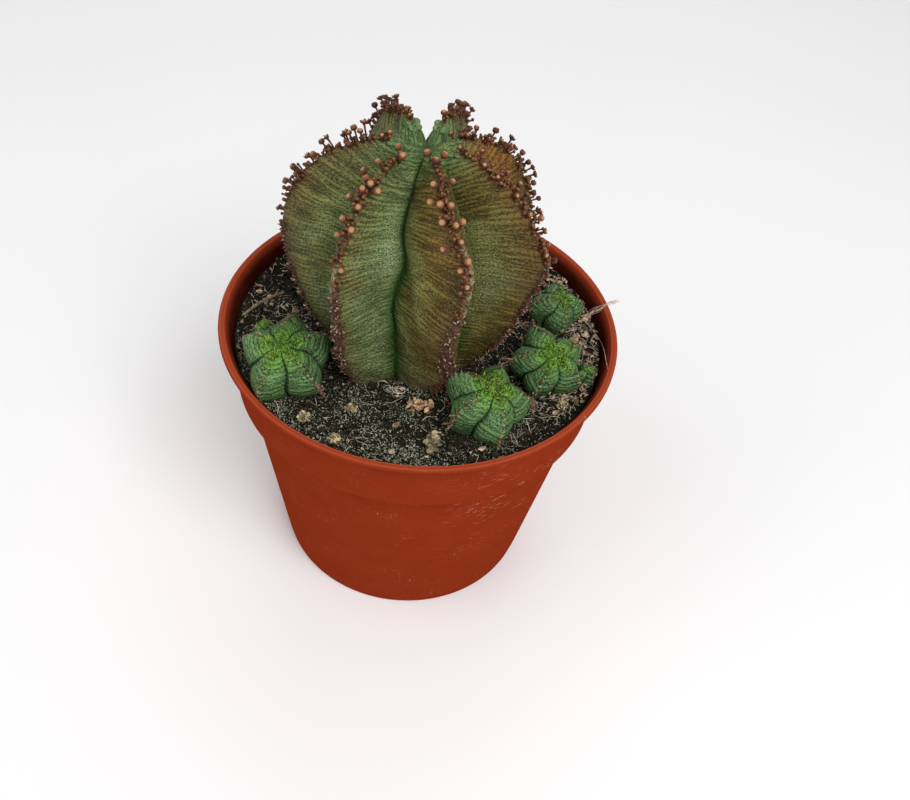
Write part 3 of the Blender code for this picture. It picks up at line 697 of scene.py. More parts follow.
def wall_outline():
    """The pot's wall from the central drain hole out, up, over the lip and down the inside."""
    slope = (BODY_TOP_RADIUS - BASE_RADIUS) / SHELF_HEIGHT
    top = POT_HEIGHT
    outline = [(DRAIN_HOLE_RADIUS, FOOT_HEIGHT + 0.3), (DRAIN_HOLE_RADIUS + 0.3, FOOT_HEIGHT)]
    foot_inner = BASE_RADIUS - FOOT_WIDTH
    outline += [(foot_inner - 0.4, FOOT_HEIGHT), (foot_inner, FOOT_HEIGHT - 0.4)]
    outline += [(foot_inner + 0.6, 0.2), (foot_inner + 1.0, 0.0)]
    outline += arc((BASE_RADIUS - 1.0, 1.0), 1.0, -90, -8, 6)
    outline += [(BASE_RADIUS + slope * z, z) for z in np.linspace(4, SHELF_HEIGHT - 2.0, 24)]
    outline += arc((BODY_TOP_RADIUS - 0.04 + 0.7, SHELF_HEIGHT - 0.7), 0.7, 188, 90, 5)
    outline += arc((COLLAR_FOOT_RADIUS - 0.8, SHELF_HEIGHT + 0.8), 0.8, -90, -5, 6)
    rise = COLLAR_HEIGHT - LIP_THICKNESS - 2.2
    outline += [
        (COLLAR_FOOT_RADIUS + (COLLAR_TOP_RADIUS - COLLAR_FOOT_RADIUS) * s, SHELF_HEIGHT + 1.6 + rise * s)
        for s in np.linspace(0.02, 1, 9)
    ]
    outline += arc((COLLAR_TOP_RADIUS + 0.6, top - LIP_THICKNESS - 0.6), 0.6, 180, 90, 5)
    outline += arc((RIM_RADIUS - 0.85, top - 0.9), 0.85, -75, 95, 12)
    outline += [(RIM_RADIUS - 1.25, top - 0.22), (RIM_RADIUS - 1.45, top - 0.28)]
    outline += arc((RIM_RADIUS - 1.75, top - 0.42), 0.30, 60, 150, 4)
    outline += [(COLLAR_TOP_RADIUS - WALL + 0.5, top - 2.6), (COLLAR_TOP_RADIUS - WALL + 0.1, top - 3.6)]
    outline += [
        (COLLAR_TOP_RADIUS - WALL - (COLLAR_TOP_RADIUS - COLLAR_FOOT_RADIUS) * s, top - 4.2 - 15.0 * s)
        for s in np.linspace(0.05, 1, 8)
    ]
    outline += [(BODY_TOP_RADIUS - WALL, SHELF_HEIGHT + WALL)]
    outline += [(BASE_RADIUS + slope * FLOOR_TOP - WALL, FLOOR_TOP), (DRAIN_HOLE_RADIUS + 0.3, FLOOR_TOP)]
    outline += [(DRAIN_HOLE_RADIUS, FLOOR_TOP - 0.3)]
    return np.array(outline)


def make_pot(surface):
    outline = wall_outline()
    sides, count = POT_SIDES, len(outline)
    angles = ring_angles(sides)
    # the wall isn't a perfect circle, and the lip waves by a hair
    wave = 1 + 0.0011 * np.cos(2 * angles + 0.7) + 0.0006 * np.cos(5 * angles + 2.0)
    grown = np.where(outline[:, 1] > FLOOR_TOP, 1.0, 0.0)
    radius = outline[None, :, 0] * (1 + (wave[:, None] - 1) * grown[None, :])
    radius = np.minimum(radius, RIM_RADIUS)
    collar = outline[None, :, 1] > SHELF_HEIGHT
    height = np.repeat(outline[None, :, 1], sides, 0) + 0.08 * np.sin(3 * angles)[:, None] * collar
    x, y = radius * np.cos(angles)[:, None], radius * np.sin(angles)[:, None]
    points = np.stack([x, y, height], axis=-1).reshape(-1, 3)
    faces = []
    for side in range(sides):
        here, there = side * count, (side + 1) % sides * count
        for corner in range(count):
            after = (corner + 1) % count
            faces.append((here + corner, there + corner, there + after, here + after))
    walk = np.concatenate([[0], np.cumsum(np.linalg.norm(np.diff(outline, axis=0), axis=1))])
    wall = np.stack([
        np.repeat(angles * UNROLLED_RADIUS, count), np.tile(walk, sides), np.zeros(sides * count)
    ], axis=-1)
    turned = (angles - radians(SCUFF_AZIMUTH) + pi) % (2 * pi) - pi
    towards = np.exp(-(turned / SCUFF_TURN) ** 2)
    band = np.exp(-((outline[:, 1] - SCUFF_HEIGHT) / SCUFF_TALL) ** 2)
    scuff = (0.10 + towards[:, None] * band[None, :]).reshape(-1)
    # the inside is painted dark from just under the lip: painted shade in the pot's hollow, with some
    # staining by the peat
    crown = int(outline[:, 1].argmax())
    depth = np.where(np.arange(count) > crown, POT_HEIGHT - outline[:, 1], 0.0)
    stain = np.tile(step(0.5, 1.6, depth), sides)
    # painted highlight: marks the top 0.4 mm of the lip, which the pot's colour paints lighter
    lip = np.tile(step(0.40, 0.12, POT_HEIGHT - outline[:, 1]), sides)
    piece = Builder()
    piece.add(points, faces, wall=wall, scuff=scuff, stain=stain, lip=lip)
    pot = piece.build("pot_shell", surface, "pot", ("pot",))
    for hole in range(DRAIN_HOLES):
        angle = 2 * pi * (hole + 0.5) / DRAIN_HOLES
        middle = np.array([DRAIN_CIRCLE_RADIUS * cos(angle), DRAIN_CIRCLE_RADIUS * sin(angle), 0.0])
        path = middle + np.array([[0, 0, FOOT_HEIGHT - 1.5], [0, 0, FLOOR_TOP + 1.5]])
        cut_through(pot, *tube(path, DRAIN_HOLE_RADIUS, 32))
    return pot


def cut_through(obj, points, faces):
    """Cuts a closed shape, given in mm, out of an object's mesh."""
    cutter = add_object("cutter", make_mesh("cutter", points, faces))
    modifier = obj.modifiers.new("cut", "BOOLEAN")
    modifier.operation = "DIFFERENCE"
    modifier.object = cutter
    bpy.context.view_layer.update()
    made = bpy.data.meshes.new_from_object(obj.evaluated_get(bpy.context.evaluated_depsgraph_get()))
    obj.modifiers.remove(modifier)
    obj.data = made
    bpy.data.objects.remove(cutter)


# ---------------------------------------------------------------- stems


def profile(shape, half_width, height, root_depth):
    """A crest's or furrow's points from the root's end up: (distance from the axis, height)."""
    root = (ROOT_TAPER * shape[0][0] * half_width, -root_depth)
    return [root] + [(x * half_width, y * height) for x, y in shape]


class Stem:
    """A stem of wing-like ribs about its own foot, as a grid of rows (climb) and columns (around)."""

    def __init__(self, crest, furrow, height, ribs, lean=(0.0, 0.0), edge=0.075, crease=0.6):
        self.crest_points = crest
        self.furrow_points = furrow
        self.height = height
        self.ribs = ribs
        self.lean = lean
        self.edge = edge  # rounding of the crest, as a share of a flank
        self.crease = crease  # depth of the crease along the furrow, mm

    def azimuths(self, climb):
        return np.array([radians(rib.azimuth) + np.radians(ease(climb, rib.sway)) for rib in self.ribs])

    def around_axis(self, radius, azimuth, up):
        """Points from their distance, azimuth and height, with the stem's lean."""
        shift = up / self.height
        return np.stack([
            radius * np.sin(azimuth) + self.lean[0] * shift,
            -radius * np.cos(azimuth) + self.lean[1] * shift,
            up,
        ], -1)

    def grid(self, rows, columns):
        climb = np.linspace(0, 1, rows)
        crest = curve_through(self.crest_points, rows)
        furrow = curve_through(self.furrow_points, rows)
        azimuths = self.azimuths(climb)
        across = np.linspace(-1, 1, 2 * columns, endpoint=False)
        soft = np.sqrt(across**2 + self.edge**2) - self.edge
        soft /= soft[0]
        lobe = 1 - soft**FLANK_BULGE
        groove = self.crease * np.exp(-(((1 - np.abs(across)) / 0.07) ** 2))
        around = len(self.ribs)
        points = np.zeros((rows, around, 2 * columns, 3))
        for number, rib in enumerate(self.ribs):
            before = azimuths[number - 1] - (2 * pi if number == 0 else 0)
            after = azimuths[(number + 1) % around] + (2 * pi if number == around - 1 else 0)
            here = azimuths[number]
            side_before = (before + here) / 2 + np.radians(ease(climb, self.ribs[number - 1].furrow_sway))
            side_after = (here + after) / 2 + np.radians(ease(climb, rib.furrow_sway))
            side = np.where(across[None, :] < 0, side_before[:, None], side_after[:, None])
            azimuth = here[:, None] + (side - here[:, None]) * np.abs(across)[None, :]
            reach = ease(climb, rib.reach)
            top = np.stack([crest[:, 0] * reach, crest[:, 1] * rib.rise], -1)
            shape = furrow[:, None] + (top - furrow)[:, None] * lobe[None, :, None]
            fade = np.clip(furrow[:, 0] / 6.0, 0, 1)[:, None]
            radius = shape[..., 0] - groove[None, :] * fade
            points[:, number] = self.around_axis(radius, azimuth, shape[..., 1])
        return points.reshape(rows, -1, 3), climb, np.tile(across, around)

    def crest_frame(self, number, climb):
        """A point on a crest with the directions out of it, along it and across it."""
        rib = self.ribs[number]
        steps = 400
        crest = curve_through(self.crest_points, steps)
        at = np.linspace(0, 1, steps)
        radius = crest[:, 0] * ease(at, rib.reach)
        up = crest[:, 1] * rib.rise
        azimuth = radians(rib.azimuth) + np.radians(ease(at, rib.sway))
        line = self.around_axis(radius, azimuth, up)
        here = min(int(climb * (steps - 1)), steps - 3)
        along = unit(line[here + 2] - line[here])
        bearing = azimuth[here]
        across = np.array([cos(bearing), sin(bearing), 0.0])
        out = unit(np.cross(across, along))
        point = np.array([np.interp(climb, at, column) for column in line.T])
        return point, out, along, across


def beside_crest(point, out, side, shift, drop=0.3, sink=0.0):
    """A place on the flank: shift mm to the side of the crest, and lower for each mm of it."""
    return point + side * shift - out * (sink + abs(shift) * drop)


def grid_normals(points):
    """Outward unit normals of a grid that wraps round along its second axis."""
    around = np.roll(points, -1, axis=1) - np.roll(points, 1, axis=1)
    up = np.gradient(points, axis=0)
    normal = np.cross(around, up)
    return normal / (np.linalg.norm(normal, axis=-1, keepdims=True) + 1e-9)


def stem_distances(points, across, columns):
    """The distance climbed at each row, the width of a flank there, and each point's way from its crest."""
    climbed = np.cumsum(np.linalg.norm(np.diff(points, axis=0, prepend=points[:1]), axis=-1), axis=0)
    width = np.linalg.norm(np.diff(points, axis=1, append=points[:, :1]), axis=-1)
    flank = width.mean(axis=1, keepdims=True) * columns
    return climbed.mean(axis=1), flank, across[None, :] * flank


def stem_piece(stem, points, relief, tint, spread, climbed, bloom):
    """The grid with its relief, closed at both ends, and the values that its skin reads."""
    rows, around = points.shape[:2]
    shaped = points + grid_normals(points) * relief[..., None]
    rib = np.repeat(np.arange(len(stem.ribs)) * NOISE_APART, around // len(stem.ribs))
    where = np.stack([spread, climbed, np.repeat(rib[None, :], rows, 0)], -1)
    caps = np.array([[0.0, 0.0, points[0, 0, 2]], [stem.lean[0], stem.lean[1], points[-1, :, 2].mean()]])
    piece = Builder()
    piece.add(
        np.vstack([shaped.reshape(-1, 3), caps]),
        grid_faces(rows, around, rows * around, rows * around + 1),
        tint=np.vstack([tint.reshape(-1, 3), tint[0, 0], tint[-1, 0]]),
        skin=np.vstack([where.reshape(-1, 3), where[0, 0], where[-1, 0]]),
        bloom=np.concatenate([bloom.ravel(), [0.0, 0.0]]),
    )
    return piece


def main_stem():
    crest = profile(STEM_CREST, STEM_WIDTH / 2, STEM_HEIGHT, STEM_ROOT_DEPTH)
    furrow = profile(STEM_FURROW, STEM_WIDTH / 2, STEM_HEIGHT, STEM_ROOT_DEPTH)
    return Stem(crest, furrow, STEM_HEIGHT, STEM_RIBS, STEM_LEAN)


def make_apex_scales(stem, surface):
    """Overlapping young segments round the stem's growing point."""
    piece = Builder()
    for rib in range(len(stem.ribs)):
        for climb in APEX_CLIMBS:
            point, out, along, side = stem.crest_frame(rib, climb)
            for turn in (-1.0, 1.0):
                points, faces = lump((1.0, 1.0, 1.0), 0.18, 0.9, 3)
                frame_axes = np.stack([along * 1.05, side * 0.80, out * 0.26])
                size = rng.uniform(0.8, 1.15) * (1.25 - 3.0 * (climb - 0.9))
                aside = turn * rng.uniform(0.9, 1.5) * (1.2 - 4.0 * (climb - 0.9))
                spot = point + side * aside - out * 0.42
                tone = 0.75 + 0.55 * step(0.0, 1.0, points[:, 2])
                piece.add(points @ frame_axes * size + spot, faces, tone=tone)
    piece.build("apex_scales", surface, "stem", (), STEM_PLACE)


def blend_colours(first, second, share):
    share = np.asarray(share, float)[..., None]
    return np.asarray(first) * (1 - share) + np.asarray(second) * share


def patchwork(places, climb, across):
    """How deep in the listed places each grid point of the main stem lies, 0 to 1."""
    per_rib = len(across) // len(STEM_RIBS)
    made = np.zeros((len(climb), len(across)))
    for rib, side, up, wide, tall, strength in places:
        own = slice(rib * per_rib, (rib + 1) * per_rib)
        near = np.exp(-(((across[own] - side) / wide) ** 2))[None, :]
        made[:, own] += strength * near * np.exp(-(((climb - up) / tall) ** 2))[:, None]
    return np.clip(made, 0, 1)


def stem_tint(points, climb, across, patches):
    """The main stem's slow colours: green flanks, olive and brown towards the crests, painted shade in the
    furrows.
    """
    rows, columns = points.shape[:2]
    t = np.repeat(climb[:, None], columns, 1)
    a = np.repeat(np.abs(across)[None, :], rows, 0)
    per_rib = columns // len(STEM_RIBS)
    green = np.zeros(columns)
    for number, rib in enumerate(STEM_RIBS):
        own = slice(number * per_rib, (number + 1) * per_rib)
        turned = step(-0.08, 0.08, across[own])
        green[own] = rib.green_before + (rib.green_after - rib.green_before) * turned
    level = green[None, :] - 0.22 + 0.72 * a**1.6 + 0.30 * patches + 0.5 * step(0.80, 0.97, t)
    level = np.clip(np.clip(level, 0, 1) - 0.18 * step(0.35, 0.0, t) * (1 - a), 0, 1)
    tint = blend_colours(OLIVE, LEAF, level)
    edge_brown = 0.80 * step(0.42, 0.02, a) * (1 - 0.55 * green[None, :]) * (1 - step(0.85, 0.98, t))
    tint = blend_colours(tint, BROWN, edge_brown)
    for rib, side, start, end in STEM_MARGINS:
        own = slice(rib * per_rib, (rib + 1) * per_rib)
        beside = np.zeros(columns)
        beside[own] = step(-0.03, 0.0, side * across[own]) * step(0.14, 0.10, side * across[own])
        along = step(start, start + 0.05, t) * step(end, end - 0.05, t)
        tint = blend_colours(tint, MARGIN, 0.90 * beside[None, :] * along)
    tint = blend_colours(tint, FRESH, 0.75 * step(0.86, 0.98, t) * step(0.0, 0.35, a))
    tint = blend_colours(tint, FROSTED, 0.6 * patchwork(STEM_FROST, climb, across))
    tint = blend_colours(tint, RUST, 0.7 * patchwork(STEM_RUST, climb, across))
    # painted shade: the deepest part of each furrow is painted near-black, most where the furrows are
    # deepest
    deep = step(0.90, 0.985, a) * (0.60 + 0.33 * step(0.42, 0.60, t)) * (1 - 0.4 * step(0.8, 1.0, t))
    tint = blend_colours(tint, FURROW_SHADE, deep)
    tint = blend_colours(tint, FURROW_SIDE, 0.72 * step(0.72, 0.97, a) * step(0.80, 0.50, t))
    scar = 0.85 * step(0.16, 0.05, a) * step(0.62, 0.45, t) * step(-0.5, 0.2, patches)
    tint = blend_colours(tint, SCAR, scar)
    return blend_colours(tint, FOOT_PALE, 0.45 * step(0.17, 0.06, t) * (1 - step(0.8, 1.0, a)))


def make_main_stem(stem, surface):
    rows, columns = STEM_GRID
    points, climb, across = stem.grid(rows, columns)
    flat = points.reshape(-1, 3)
    patches = noise_at(flat, 9.0, 3.0, 3).reshape(rows, -1)
    lumps = noise_at(flat, 5.0, 8.0, 3).reshape(rows, -1)
    along, flank, spread = stem_distances(points, across, columns)
    a = np.abs(across)[None, :]
    t = climb[:, None]
    slant = BAND_SLANT * step(0.95, 0.5, t) * (1 - 0.35 * step(0.5, 1.0, a))
    slanted = along[:, None] - slant * a * flank
    bands = np.sin(2 * pi * slanted / BAND_SPACING + 2.2 * patches)
    relief = BAND_RELIEF * bands * (1 - step(0.9, 1.0, a)) + LUMP_RELIEF * lumps * step(1.0, 0.6, a)
    knobs = np.clip(np.sin(2 * pi * along / KNOB_SPACING), 0, 1)[:, None] ** 2
    relief = relief + KNOB_RELIEF * knobs * np.exp(-((a / 0.10) ** 2)) * step(0.98, 0.9, t)
    tint = stem_tint(points, climb, across, patches)
    bloom = (0.30 + 0.70 * step(0.30, 0.75, a)) * (0.45 + 0.55 * step(0.2, 0.4, t) * step(0.86, 0.6, t))
    bloom = np.maximum(bloom * 0.85, 0.9 * step(0.36, 0.08, t)) * step(-0.25, 0.35, patches)
    bloom = np.maximum(bloom, patchwork(STEM_FROST, climb, across)) * (1 - step(0.93, 0.99, a))
    piece = stem_piece(stem, points, relief, tint, spread, slanted, bloom)
    piece.build("stem_body", surface, "stem", ("main_stem",), STEM_PLACE)


def stalked_head(piece, foot, out, side, sideways, stalk, radius, tone, ragged):
    """One flower head on its bent stalk, with a collar of small bracts that stand out when ragged."""
    lean = unit(out + side * sideways / max(stalk, 1.2) * 0.9 + rng.normal(0, 0.10, 3))
    head = foot + out * stalk + side * sideways
    middle = (foot + head) / 2 + rng.normal(0, 0.16, 3) * min(stalk, 3.0) / 3
    path = curve_through([foot - out * 0.4, foot + (middle - foot) * 0.5, middle, head], 6)
    radii = STALK_RADIUS * np.array([1.35, 1.0, 0.9, 0.92, 1.05, 1.5])
    points, faces = tube(path, radii, 7)
    piece.add(points, faces, face=0.0, tone=tone * 0.5, rose=0.0)
    points, faces, share = ball(head, lean, radius, 9, 14, 0.88)
    # a shallow dimple in the pale face
    dimple = step(0.72, 1.0, share) * 0.18 * radius
    points = points - lean * dimple[:, None]
    face = step(0.72, 0.88, share) * (1 - 0.3 * step(0.96, 1.0, share))
    piece.add(points, faces, face=face, tone=tone * (0.4 + 0.6 * step(-0.6, 0.5, share)), rose=0.0)
    bracts = 7 if ragged else 4
    reach, rise, thick = (1.55, 0.55, 0.27) if ragged else (1.02, -0.25, 0.20)
    for bract in range(bracts):
        angle = 2 * pi * bract / bracts + rng.uniform(0, 1)
        spoke = unit(np.cross(lean, side + 0.3 * out))
        spoke = spoke * cos(angle) + np.cross(lean, spoke) * sin(angle)
        root = head - lean * radius * 0.85
        tip = head + spoke * radius * reach + lean * radius * rise
        points, faces = tube([root, (root + tip) / 2 + spoke * 0.25, tip], [0.22, thick, 0.06], 5)
        piece.add(points, faces, face=0.0, tone=tone * 0.3, rose=0.0)


def dried_remain(piece, foot, out, side, length, radius):
    """A short, dried flower stalk with a small round head."""
    lean = unit(out + side * rng.normal(0, 0.45) + rng.normal(0, 0.2, 3))
    tip = foot + lean * length
    middle = foot + lean * length * 0.55 + rng.normal(0, 0.08, 3)
    points, faces = tube([foot - out * 0.3, middle, tip], [0.30, 0.22, 0.30], 6)
    piece.add(points, faces, face=0.0, tone=rng.uniform(0, 0.25), rose=0.0)
    points, faces, share = ball(tip, lean, radius, 5, 8, 0.8)
    points = points + rng.normal(0, radius * 0.10, points.shape)
    face = step(0.6, 1.0, share) * rng.uniform(0.0, 0.5)
    piece.add(points, faces, face=face, tone=rng.uniform(0, 0.4), rose=0.0)


def stub(piece, foot, out, side, length):
    """A dry bristle left on the crest, pale at its tip."""
    lean = out * rng.uniform(0.5, 1.0) + side * rng.normal(0, 0.7) + np.array([0, 0, rng.normal(0, 0.5)])
    lean = unit(lean)
    bend = rng.normal(0, 0.18, 3)
    path = [foot - out * 0.25, foot + lean * length * 0.5 + bend, foot + lean * length + bend * 0.4]
    points, faces = tube(path, np.array([0.24, 0.19, 0.10]) * rng.uniform(0.8, 1.5), 5)
    pale = rng.uniform(0, 1) < 0.30
    share = np.concatenate([np.repeat([0.0, 0.2, 1.0], 5), [0.0, 1.0]])
    face = share * (0.9 if pale else 0.05)
    piece.add(points, faces, face=face, tone=rng.uniform(0, 0.22) * share, rose=1.0)


def make_flowers(stem, surface):
    """A piece for each rib: its stalked heads, the dried remains among them and the stubs below."""
    for number, rib in enumerate(STEM_RIBS):
        name = rib.name
        aside = FLOWER_SIDE.get(name, 0.0)
        piece = Builder()
        for climb, sideways, stalk in BUDS[name]:
            point, out, _, side = stem.crest_frame(number, climb)
            foot = point + side * (aside + sideways * 0.35) - out * 0.2
            front = name.startswith("front")
            ragged = not front and rng.uniform() < RAGGED_SHARE
            size = BUD_RADIUS * rng.uniform(0.82, 1.08) * (1.0 if front else BACK_BUDS)
            size *= RAGGED_BUDS if ragged else 1.0
            tone = rng.uniform(0.1, 0.8) if front else rng.uniform(0.0, 0.5)
            stalk *= 1.0 if front else rng.uniform(0.55, 1.0)
            stalked_head(piece, foot, out, side, sideways * 0.65, stalk, size, tone, ragged)
            for _ in range(rng.integers(1, 4)):
                nearby = climb + rng.normal(0, 0.012)
                point, out, _, side = stem.crest_frame(number, min(nearby, 0.95))
                shift = aside + rng.normal(0, 0.6 if nearby < 0.9 else 0.3)
                foot = beside_crest(point, out, side, shift)
                dried_remain(piece, foot, out, side, rng.uniform(0.8, 2.4), rng.uniform(0.32, 0.62))
        for climb in rng.uniform(DRIED_FROM, DRIED_TO, DRIED_COUNT):
            point, out, _, side = stem.crest_frame(number, climb)
            shift = aside + rng.normal(0, 0.7 if climb < 0.88 else 0.35)
            foot = beside_crest(point, out, side, shift)
            dried_remain(piece, foot, out, side, rng.uniform(0.5, 1.8), rng.uniform(0.3, 0.62))
        for climb in rng.uniform(STUBS_FROM, STUBS_TO, STUBS_COUNT):
            point, out, _, side = stem.crest_frame(number, climb)
            shift = rng.normal(0, 1.25 if climb < 0.35 else 0.75)
            foot = beside_crest(point, out, side, shift, 0.36, 0.10)
            stub(piece, foot, out, side, rng.uniform(0.5, 1.5))
        piece.build("flowers_" + name, surface, "buds", ("flower_row_" + name,), STEM_PLACE)


# ---------------------------------------------------------------- offsets


def offset_place(name):
    """Centre, half width and height of an offset, from its CAD box."""
    low, high = corners_of("offset_" + name)
    half = (high[0] - low[0] + high[1] - low[1]) / 3.9
    return (low[0] + high[0]) / 2, (low[1] + high[1]) / 2, half, high[2] - SOIL_TOP


def offset_tint(t, a, patches, fresh):
    """An offset's slow colours: blue-green flanks, painted shade in the furrows and a fresh yellow-green
    middle.
    """
    tint = blend_colours(OFFSET_LEAF, OFFSET_COOL, np.clip(0.5 + 0.6 * patches, 0, 1))
    tint = blend_colours(tint, OFFSET_CENTRE, np.clip(fresh * step(0.66, 0.92, t), 0, 1))
    # painted shade: the deepest part of each furrow is painted near-black
    tint = blend_colours(tint, OFFSET_FURROW_SHADE, 0.95 * step(0.88, 0.975, a) * step(1.0, 0.93, t))
    return blend_colours(tint, OFFSET_EDGE, 0.5 * step(0.10, 0.0, a) * step(0.9, 0.6, t))


def make_offset(offset, surface, tip_surface, bristle_surface):
    name = offset.name
    middle_x, middle_y, half, height = offset_place(name)
    half *= offset.growth
    ribs = [
        Rib(name, azimuth, 1.0, [(0.0, 0.0), (0.5, OFFSET_SWAY * (-1) ** number), (1.0, 0.0)], STRAIGHT,
            0.0, 0.0, OFFSET_FURROW_SWAY)
        for number, azimuth in enumerate(offset.azimuths)
    ]
    crest = profile(OFFSET_CREST, half, height, OFFSET_ROOT_DEPTH)
    furrow = profile(OFFSET_FURROW, half, height, OFFSET_ROOT_DEPTH)
    stem = Stem(crest, furrow, height, ribs, edge=0.06, crease=0.045 * half)
    rows, columns = OFFSET_GRID if half > 5 else BUD_GRID
    points, climb, across = stem.grid(rows, columns)
    patches = noise_at(points.reshape(-1, 3), 4.0, 20.0 + half, 3).reshape(rows, -1)
    along, _, spread = stem_distances(points, across, columns)
    a = np.abs(across)[None, :]
    t = climb[:, None]
    teeth = np.abs(np.sin(pi * along / TOOTH_SPACING))[:, None]
    relief = TOOTH_RELIEF * teeth * np.exp(-((a / 0.09) ** 2)) * step(1.0, 0.8, t)
    bands = np.sin(2 * pi * along[:, None] / OFFSET_BAND_SPACING + 2 * patches)
    relief = relief + OFFSET_BAND_RELIEF * bands * (1 - step(0.85, 1.0, a))
    relief = relief + OFFSET_LUMP_RELIEF * patches
    tint = offset_tint(t + 0 * a, a + 0 * t, patches, offset.fresh)
    bloom = 0.15 + 0.5 * step(-0.2, 0.5, patches) + 0.5 * offset.fresh * step(0.7, 0.9, t)
    bloom = bloom * (1 - step(0.85, 0.97, a))
    climbed = np.repeat(along[:, None], spread.shape[1], 1)
    piece = stem_piece(stem, points, relief, tint, spread, climbed, bloom)
    tilt, bearing = radians(offset.lean), radians(offset.towards)
    turned = Matrix.Rotation(tilt * sin(bearing), 4, "Y") @ Matrix.Rotation(tilt * cos(bearing), 4, "X")
    foot = Vector((middle_x + offset.shift[0], middle_y + offset.shift[1], SOIL_TOP))
    place = Matrix.Translation(foot * MM) @ turned
    piece.build("offset_body_" + name, surface, "offsets", ("offset_" + name,), place)
    make_growing_tip(name, stem, half, tip_surface, place)
    make_bristles(name, stem, half, bristle_surface, place)
    for rib in DRIED_TIPS.get(name, ()):
        make_dried_tip(name + "_" + str(rib), stem, rib, bristle_surface, place)


def make_dried_tip(name, stem, rib, surface, place):
    """A tuft of dry, pinkish flower stalks at the shoulder of an offset's rib."""
    piece = Builder()
    for _ in range(DRIED_TIP_STALKS):
        point, out, along, side = stem.crest_frame(rib, rng.uniform(DRIED_TIP_FROM, DRIED_TIP_TO))
        lean = unit(out * rng.uniform(0.8, 1.2) + side * rng.normal(0, 0.25) + along * rng.normal(0, 0.3))
        length = rng.uniform(1.0, 3.0)
        bend = rng.normal(0, 0.2, 3)
        middle = point + lean * length * 0.5 + bend
        path = curve_through([point - lean * 0.3, middle, point + lean * length], 6)
        points, faces = tube(path, rng.uniform(0.14, 0.26) * np.linspace(1.1, 0.8, 6), 6)
        share = np.concatenate([np.repeat(np.linspace(0, 1, 6), 6), [0.0, 1.0]])
        piece.add(points, faces, face=share * rng.uniform(0.1, 0.8), tone=rng.uniform(0.0, 0.5), rose=1.0)
        points, faces, share = ball(point + lean * length, lean, rng.uniform(0.25, 0.42), 5, 8)
        piece.add(points, faces, face=0.4 * step(0.2, 0.9, share), tone=rng.uniform(0.0, 0.4), rose=1.0)
    piece.build("dried_tip_" + name, surface, "buds", (), place)


def make_growing_tip(name, stem, half, surface, place):
    """The crowded young leaflets and scales in the middle of an offset."""
    piece = Builder()
    count = int(60 + 9 * half)
    for _ in range(count):
        rib = rng.integers(0, len(stem.ribs))
        climb = 1 - abs(rng.normal(0, 0.085))
        if climb < TIP_FROM:
            continue
        point, out, along, side = stem.crest_frame(rib, climb)
        spot = point + side * rng.normal(0, 0.10) * half * (1.4 - climb) - out * 0.15
        lean = unit(out + along * rng.normal(0.3, 0.3) + side * rng.normal(0, 0.5))
        length = rng.uniform(0.5, 1.3) * (0.5 + half / 14)
        wide = rng.uniform(0.09, 0.19) * (0.6 + half / 20)
        path = [spot - lean * 0.2, spot + lean * length * 0.5 + along * 0.1, spot + lean * length]
        points, faces = tube(path, [wide * 1.3, wide, wide * 0.4], 6)
        tone = np.concatenate([np.repeat([0.35, 0.8, 1.2], 6), [0.3, 1.3]])
        piece.add(points, faces, tone=tone * rng.uniform(0.5, 1.9))
    piece.build("growing_tip_" + name, surface, "offsets", (), place)


def make_bristles(name, stem, half, surface, place):
    """Dry bristles on an offset's crests."""
    piece = Builder()
    for rib in range(len(stem.ribs)):
        for climb in rng.uniform(BRISTLES_FROM, BRISTLES_TO, int(7 + 1.6 * half)):
            point, out, _, side = stem.crest_frame(rib, climb)
            stub(piece, point - out * 0.05, out, side, rng.uniform(0.5, 1.1) * (0.5 + half / 20))
    piece.build("bristles_" + name, surface, "buds", (), place)


# ---------------------------------------------------------------- soil and litter


def soil_height(x, y):
    """The CAD's slow unevenness of the soil."""
    return SOIL_TOP + SOIL_WAVE * noise.noise(Vector((x, y, 0.0)) / SOIL_WAVE_LENGTH)


def under_stem(x, y):
    return np.hypot(x - STEM_FOOT[0], y - STEM_FOOT[1]) < STEM_FOOT_RADIUS


def make_soil(surface):
    rings, sides = SOIL_RINGS, SOIL_SIDES
    radii = SOIL_RADIUS * np.linspace(1, 0.006, rings)
    angles = ring_angles(sides)
    x = radii[:, None] * np.cos(angles)
    y = radii[:, None] * np.sin(angles)
    flat = np.stack([x, y, 0 * x], -1).reshape(-1, 3)
    slow = np.array([soil_height(px, py) for px, py, _ in flat])
    lumps = noise_at(flat, 3.2, 5.0, 4)
    grains = noise_at(flat, 0.9, 9.0, 2)
    height = slow + SOIL_LUMPS * lumps + SOIL_GRAINS * grains - 0.25
    top = np.column_stack([flat[:, :2], height])
    slope = (BODY_TOP_RADIUS - BASE_RADIUS) / SHELF_HEIGHT
    side_rings = [
        (BASE_RADIUS + slope * SOIL_LOW - WALL - 0.3, SOIL_LOW),
        (BODY_TOP_RADIUS - WALL - 0.3, SHELF_HEIGHT + WALL + 0.3),
        (COLLAR_FOOT_RADIUS - WALL - 0.3, SHELF_HEIGHT + WALL + 0.3),
    ]
    walls = [
        (radius * cos(angle), radius * sin(angle), z) for radius, z in side_rings for angle in angles
    ]
    points = np.vstack([walls, top, [[0, 0, SOIL_LOW], [0, 0, height[-sides:].mean()]]])
    dust_patch = noise_at(points, 14.0, 31.0, 2)
    front = step(22.0, -30.0, points[:, 1]) * step(42.0, 5.0, points[:, 0] - 8.0)
    dust = np.clip(0.15 + front * (0.65 + 0.6 * dust_patch), 0, 1)
    piece = Builder()
    piece.add(points, grid_faces(rings + 3, sides, len(points) - 2, len(points) - 1), dust=dust)
    piece.build("soil_body", surface, "soil", ("soil",))


